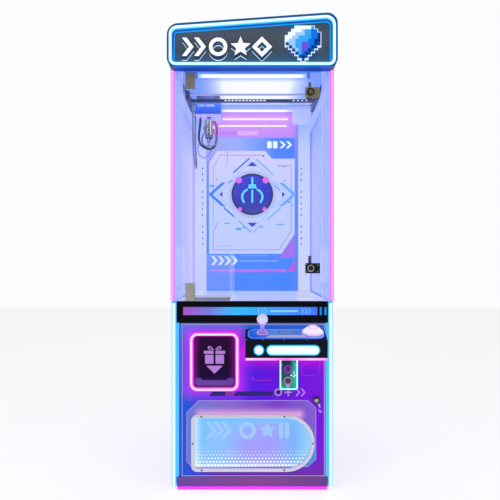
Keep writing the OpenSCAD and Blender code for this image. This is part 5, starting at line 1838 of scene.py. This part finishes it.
ring_steel = drawn_metal("turned_ring_steel", (0.6, 0.62, 0.7), 0.2, (30, 30, 900))
for number, height in enumerate((1.4555, 1.4705, 1.5255)):
    band = round_ring(f"coil_ring_{number}", (claw_x, claw_y, height), 0.017, 0.001, (48, 10), 1.5)
    dress(band, ring_steel, "claw")
gland_black = worn_surface("black_grommet", (0.012, 0.012, 0.014), 0.5, rubbed=(0.2, 0.2, 0.2), grain=900.0)
gland = round_ring("cord_grommet", (claw_x, claw_y, 1.5385), 0.0052, 0.0022, (48, 10), 1.5)
dress(gland, gland_black, "claw")
grommet = round_ring("cover_grommet", (claw_x, claw_y, 1.5405), 0.0072, 0.0016, (40, 10), 1.6)
dress(grommet, gland_black, "carriage")

# ---- Glass door --------------------------------------------------------------------------
# A frameless toughened pane in satin nickel shoes. Its two turn latches sit on plates: the
# upper ones are aged brass and the lower ones black.
coat("glass_door", clear_sheet("door_pane_glass", (0.62, 0.72, 1.0), 0.03, 0.55, painted_glow_level=0.1, rough=0.02))


def fitting_colour(tree, place):
    right = math_node(tree, "GREATER_THAN", axis_of(tree, place, "X"), 0.0)
    high = math_node(tree, "GREATER_THAN", axis_of(tree, place, "Z"), 1.2)
    shoe = mix_colours(tree, high, (0.52, 0.5, 0.46), (0.42, 0.37, 0.27))
    plate = mix_colours(tree, high, (0.01, 0.01, 0.012), (0.34, 0.28, 0.16))
    return mix_colours(tree, right, shoe, plate)


coat(
    "glass_door_fittings",
    worn_surface(
        "nickel_and_brass_fittings", fitting_colour, 0.32, metal=0.55, rubbed=(0.75, 0.7, 0.6), rubbing=0.6,
        drift=0.3, grain=900.0, depth=0.15)
)
coat(
    "upper_latch",
    worn_surface(
        "aged_brass_latch", (0.26, 0.21, 0.12), 0.3, metal=0.8, rubbed=(0.7, 0.6, 0.4), rubbing=0.7,
        drift=0.3, grain=600.0)
)
coat(
    "lower_latch",
    worn_surface(
        "black_latch", (0.012, 0.012, 0.012), 0.3, rubbed=(0.4, 0.4, 0.4), rubbing=0.6, grain=700.0)
)
for name, height, body, ring_colour, hub_colour in (
    ("upper", 1592, "latch_top", (0.01, 0.01, 0.012), (0.42, 0.36, 0.24)),
    ("lower", 889, "latch_low", (0.4, 0.38, 0.38), (0.03, 0.03, 0.03)),
):
    latch_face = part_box(f"{name}_latch")[0][1]
    ring_piece = flat_shape(
        f"{name}_latch_ring", [disc(233, height, 14.2, 40), disc(233, height, 9.6, 40)],
        latch_face - 0.0018, 0.0018, 0.0006)
    dress(
        ring_piece,
        worn_surface(
            f"{name}_latch_ring_paint", ring_colour, 0.25, metal=0.5, rubbed=(0.7, 0.7, 0.7), grain=700.0),
        body)
    hub = flat_shape(
        f"{name}_latch_hub", [disc(233, height, 7.4, 32), box(232, 234, height - 4.5, height + 4.5)],
        latch_face - 0.0032, 0.0032, 0.0008)
    dress(
        hub,
        worn_surface(
            f"{name}_latch_hub_metal", hub_colour, 0.25, metal=0.9, rubbed=(0.8, 0.75, 0.6), grain=500.0),
        body)
    for number, (x, z) in enumerate(
        ((261, height - 13), (261, height + 13), (217, height - 15), (217, height + 15))):
        screw(
            f"{name}_plate_screw_{number}", x / 1000, z / 1000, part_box("glass_door_fittings")[0][1], 0.0022,
            "front_glass", zinc_screw, 0.001)

# ---- Sign --------------------------------------------------------------------------------
# A folded navy box with a sloping top. A slate panel is sunk into it behind a round neon
# tube, with raised white figures whose deep blue sides drop below them.
sign_corners = ((-333, 1675), (333, 1675), (333, 1888), (-333, 1841))
sign_radii = (34, 34, 44, 40)


def sign_outline(inset, steps=8):
    """The sign's outline, moved in by a distance, with its rounded corners."""
    points = []
    for i, (x, z) in enumerate(sign_corners):
        before = sign_corners[i - 1]
        after = sign_corners[(i + 1) % 4]
        back = ((before[0] - x) / math.dist(before, (x, z)), (before[1] - z) / math.dist(before, (x, z)))
        on = ((after[0] - x) / math.dist(after, (x, z)), (after[1] - z) / math.dist(after, (x, z)))
        half = math.acos(back[0] * on[0] + back[1] * on[1]) / 2
        middle = (back[0] + on[0], back[1] + on[1])
        reach = sign_radii[i] / math.sin(half) / math.hypot(*middle)
        centre = (x + middle[0] * reach, z + middle[1] * reach)
        first = math.atan2(back[0], -back[1])
        last = math.atan2(-on[0], on[1])
        if last < first:
            last += 2 * math.pi
        for step in range(steps + 1):
            turn = first + (last - first) * step / steps
            radius = sign_radii[i] - inset
            points.append((centre[0] + radius * math.cos(turn), centre[1] + radius * math.sin(turn)))
    return points


sign_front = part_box("marquee_housing")[0][1]
panel_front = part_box("marquee_face")[0][1]


def sign_box_print(tree, place):
    box_side = shaded(
        tree, place, "Y", sign_front, sign_front + 0.03,
        [(0.0, (0.003, 0.05, 0.14)), (0.2, (0.002, 0.06, 0.24)), (1.0, (0.003, 0.02, 0.09))])
    # Painted light from the tubes below: the underside glows blue at its front and back edges and is dark
    # between.
    underside = shaded(
        tree, place, "Y", sign_front, sign_front + 0.05,
        [
            (0.0, (0.0, 0.1, 0.62)), (0.35, (0.0, 0.03, 0.24)), (0.8, (0.0, 0.02, 0.2)),
            (1.0, (0.0, 0.18, 0.85))]
    )
    return mix_colours(
        tree, math_node(tree, "LESS_THAN", axis_of(tree, place, "Z"), 1.6756), box_side, underside)


sign_box_finish = worn_surface(
    "navy_sign_box", sign_box_print, 0.35, rubbed=(0.1, 0.35, 0.6), rubbing=0.4, grain=1500.0, depth=0.1,
    gloss=0.2)
# The sign box carries a painted glow.
painted_self_glow(sign_box_finish, 0.7)
coat("marquee_housing", sign_box_finish)


def slate_print(tree, place):
    base = shaded(tree, place, "Z", 1.7, 1.86, [
        (0.0, (0.05, 0.22, 0.44)), (0.12, (0.07, 0.16, 0.28)), (0.3, (0.085, 0.115, 0.16)),
        (0.6, (0.12, 0.145, 0.19)), (0.8, (0.1, 0.13, 0.18)), (1.0, (0.06, 0.09, 0.14)),
    ])
    stretch = tree.nodes.new("ShaderNodeMapping")
    stretch.inputs["Scale"].default_value = (3, 3, 60)
    tree.links.new(place, stretch.inputs["Vector"])
    streak = noise(tree, stretch.outputs[0], 1.0, 4.0)
    base = mix_colours(tree, times(tree, streak, 0.3), base, (0.03, 0.04, 0.06))
    # A painted blue glow round the gem badge.
    badge_glow = halo_mask(tree, place, 0.196, 1.766, 0.03, 0.03, 0.09)
    return mix_colours(tree, times(tree, badge_glow, 0.5), base, (0.05, 0.2, 0.42))


coat(
    "marquee_face",
    worn_surface(
        "slate_sign_panel", slate_print, 0.28, rubbed=(0.2, 0.3, 0.4), rubbing=0.3, grain=900.0, depth=0.06)
)
# Painted light of the tube on the recess: a blue glow on its walls, darker towards the top where the top edge
# shades it, a brighter painted edge, and a painted glow under the tube.
for name, outer, inner, front, colour, strength in (
    (
        "sign_reveal", 5.3, 27.5, 0.0022,
        banded(
            "Z", 1.68, 1.88,
            [
                (0.0, (0.0, 0.2, 0.7)), (0.12, (0.0, 0.16, 0.6)), (0.5, (0.0, 0.05, 0.36)),
                (1.0, (0.0, 0.04, 0.32))]
        ),
        0.8),
    ("sign_reveal_edge", 24.5, 28.0, 0.0036, (0.0, 0.36, 0.82), 0.9),
    ("sign_tube_glow", 5.3, 16.5, 0.006, (0.0, 0.46, 0.94), 1.0),
):
    ring = flat_shape(name, [sign_outline(outer), sign_outline(inner)], panel_front - front, front, 0.0006)
    dress(ring, glowing_film(f"{name}_film", colour, strength), "cabinet")
neon_y = (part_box("marquee_neon")[0][1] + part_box("marquee_neon")[1][1]) / 2
sign_tube = bent_tube("sign_tube", sign_outline(12.5), neon_y, 0.0062)
dress(
    sign_tube,
    tube_light(
        "cyan_sign_tube", neon_y - 0.0062, 0.0062, (0.95, 1.0, 1.0), (0.35, 0.85, 1.0), 1.25,
        (0.0, 0.4, 0.95)),
    "cabinet")
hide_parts("marquee_neon")


def figure_print(tree, place):
    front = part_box("marquee_figures")[0][1]
    high = shaded(tree, place, "Z", 1.72, 1.8, [(0.0, (0.86, 0.93, 1.0)), (1.0, (0.97, 0.98, 1.0))])
    facing = math_node(tree, "LESS_THAN", axis_of(tree, place, "Y"), front + 0.0004)
    figures = math_node(tree, "LESS_THAN", axis_of(tree, place, "X"), 0.1)
    return mix_colours(tree, times(tree, facing, figures), (0.0, 0.035, 0.16), high)


coat("marquee_figures", glowing_film("white_figure_faces", figure_print, 0.95))


def sign_figures(drop):
    """The outlines of the five raised figures, dropped by a distance."""
    middle = 1758 - drop
    heads = [
        [
            (x, middle - 36), (x + 18, middle - 36), (x + 46, middle), (x + 18, middle + 36),
            (x, middle + 36), (x + 28, middle)]
        for x in (-276, -228)
    ]
    star = [
        (
            -46 + (18 if i % 2 else 41) * math.sin(math.radians(36 * i)),
            middle + (18 if i % 2 else 41) * math.cos(math.radians(36 * i)))
        for i in range(10)
    ]
    return heads + [
        disc(-134, middle, 36, 48), disc(-134, middle, 22, 40), star, disc(38, middle, 40, 4),
        disc(38, middle, 20, 4)]


figure_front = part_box("marquee_figures")[0][1]
side_blue = glowing_film(
    "deep_figure_side", banded("Z", 1.7, 1.76, [(0.0, (0.0, 0.02, 0.08)), (1.0, (0.0, 0.07, 0.18))]), 0.5)
for layer in range(1, 7):
    front = figure_front + 0.001 * layer
    side = flat_shape(f"figure_side_{layer}", sign_figures(2.2 * layer), front, panel_front - front)
    dress(side, side_blue, "cabinet")
outline_white = glowing_film("white_figure_outline", (0.75, 0.93, 1.0), 0.95)
below = flat_shape("figure_outline", sign_figures(15.6), panel_front - 0.0012, 0.0012)
dress(below, outline_white, "cabinet")

# ---- Sign badge --------------------------------------------------------------------------
# A cut gem drawn in square blocks, stacked in front of its white base plate, with deep
# blue blocks that drop below it.
gem_rows = (
    "...wwwwwc..",
    "..wwwsccbb.",
    ".wwsssccbbn",
    "wwssccccbbn",
    "wssccccbbnn",
    ".ssccvvbbn.",
    "..sccvvbn..",
    "...scvbn...",
    "....cbn....",
    ".....n.....",
)
gem_left, gem_top, block = 131, 1838, 12.4


def gem_blocks(letters, drop=0.0, grow=0.0):
    """One bar for each run of these letters in a row of the gem."""
    bars = []
    for row, line in enumerate(gem_rows):
        top = gem_top - row * block - drop
        start = None
        for column, letter in enumerate(line + "."):
            if letter in letters and start is None:
                start = column
            if letter not in letters and start is not None:
                bars.append(
                    box(
                        gem_left + start * block - grow, gem_left + column * block + grow,
                        top - block - grow + 0.05, top + grow - 0.05))
                start = None
    return bars


for number, (letters, drop, grow, front, colour, strength) in enumerate((
    ("wscbvn", 15.0, 3.0, 0.0083, (0.7, 0.88, 1.0), 0.9),
    ("wscbvn", 0.0, 3.0, 0.0085, (0.7, 0.88, 1.0), 0.9),
    ("wscbvn", 13.0, 0.0, 0.0089, (0.0, 0.04, 0.22), 0.7),
    ("wscbvn", 7.0, 0.0, 0.0093, (0.0, 0.12, 0.52), 0.7),
    ("w", 0.0, 0.0, 0.0116, (0.84, 0.92, 1.0), 0.9),
    ("s", 0.0, 0.0, 0.0111, (0.34, 0.6, 0.98), 0.85),
    ("c", 0.0, 0.0, 0.0107, (0.04, 0.38, 0.94), 0.85),
    ("b", 0.0, 0.0, 0.0103, (0.0, 0.17, 0.8), 0.85),
    ("v", 0.0, 0.0, 0.0109, (0.16, 0.08, 0.72), 0.8),
    ("n", 0.0, 0.0, 0.0099, (0.0, 0.03, 0.26), 0.7),
)):
    ink = glowing_film(f"gem_ink_{number}", colour, strength)
    for bar, outline in enumerate(gem_blocks(letters, drop, grow)):
        piece = flat_shape(f"gem_{number}_{bar}", [outline], panel_front - front, front)
        dress(piece, ink, "cabinet")
# ---- Back hardware -----------------------------------------------------------------------
# Pan-head screws along the back sheet's edges, a pressed louvre over each of its vent slots
# to let the electronics' heat out, and a rounded cover plate over the wiring.
back_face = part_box("back_panel")[1][1]


def back_piece(name, outlines, thickness, material, bevel=0.0008):
    """A piece cut from sheet that stands on the back sheet and faces away from the player."""
    piece = flat_shape(name, [[(-x, z) for x, z in outline] for outline in outlines], -thickness, thickness)
    piece.rotation_euler = (0, 0, math.pi)
    piece.location = (0, back_face, 0)
    only(piece)
    bpy.ops.object.transform_apply(location=True, rotation=True, scale=True)
    round_edges(piece, bevel, 2)
    dress(piece, material, "cabinet")


sheet_finish = worn_surface(
    "pressed_back_steel", (0.44, 0.44, 0.6), 0.42, rubbed=(0.75, 0.75, 0.85), rubbing=0.6, grain=1500.0,
    depth=0.3)
black_paint_and_recess_shade = worn_surface(
    "back_black_paint_and_drive_shade", (0.03, 0.03, 0.05), 0.7, rubbed=(0.1, 0.1, 0.15), grain=900.0)
louvre_tops = [504 + 18 * number for number in range(9)]
louvres = [rounded_box(56, 224, low, low + 10, 4.6, 6) for low in louvre_tops]
back_piece("vent_louvres", louvres, 0.0046, sheet_finish, 0.002)
back_piece("wiring_cover", [rounded_box(-210, 210, 250, 470, 14, 6)], 0.0022, sheet_finish)
back_piece("wiring_cover_pull", [rounded_box(-40, 40, 440, 452, 6, 6)], 0.0058, black_paint_and_recess_shade, 0.0016)
zinc_heads = [(x, z) for x in (-196, 0, 196) for z in (264, 456)]
zinc_heads += [(x, z) for x in (-290, 290) for z in range(120, 741, 124)]
zinc_heads += [(x, z) for x in (-290, 290) for z in range(820, 1681, 172)]
back_piece("back_screw_heads", [disc(x, z, 4.4, 20) for x, z in zinc_heads], 0.0042, zinc_screw, 0.0013)
# Dark hexagons on the screw heads are painted shade standing in for the drive recesses.
back_piece("back_screw_drive_shades", [disc(x, z, 1.9, 6) for x, z in zinc_heads], 0.0044, black_paint_and_recess_shade, 0.0001)
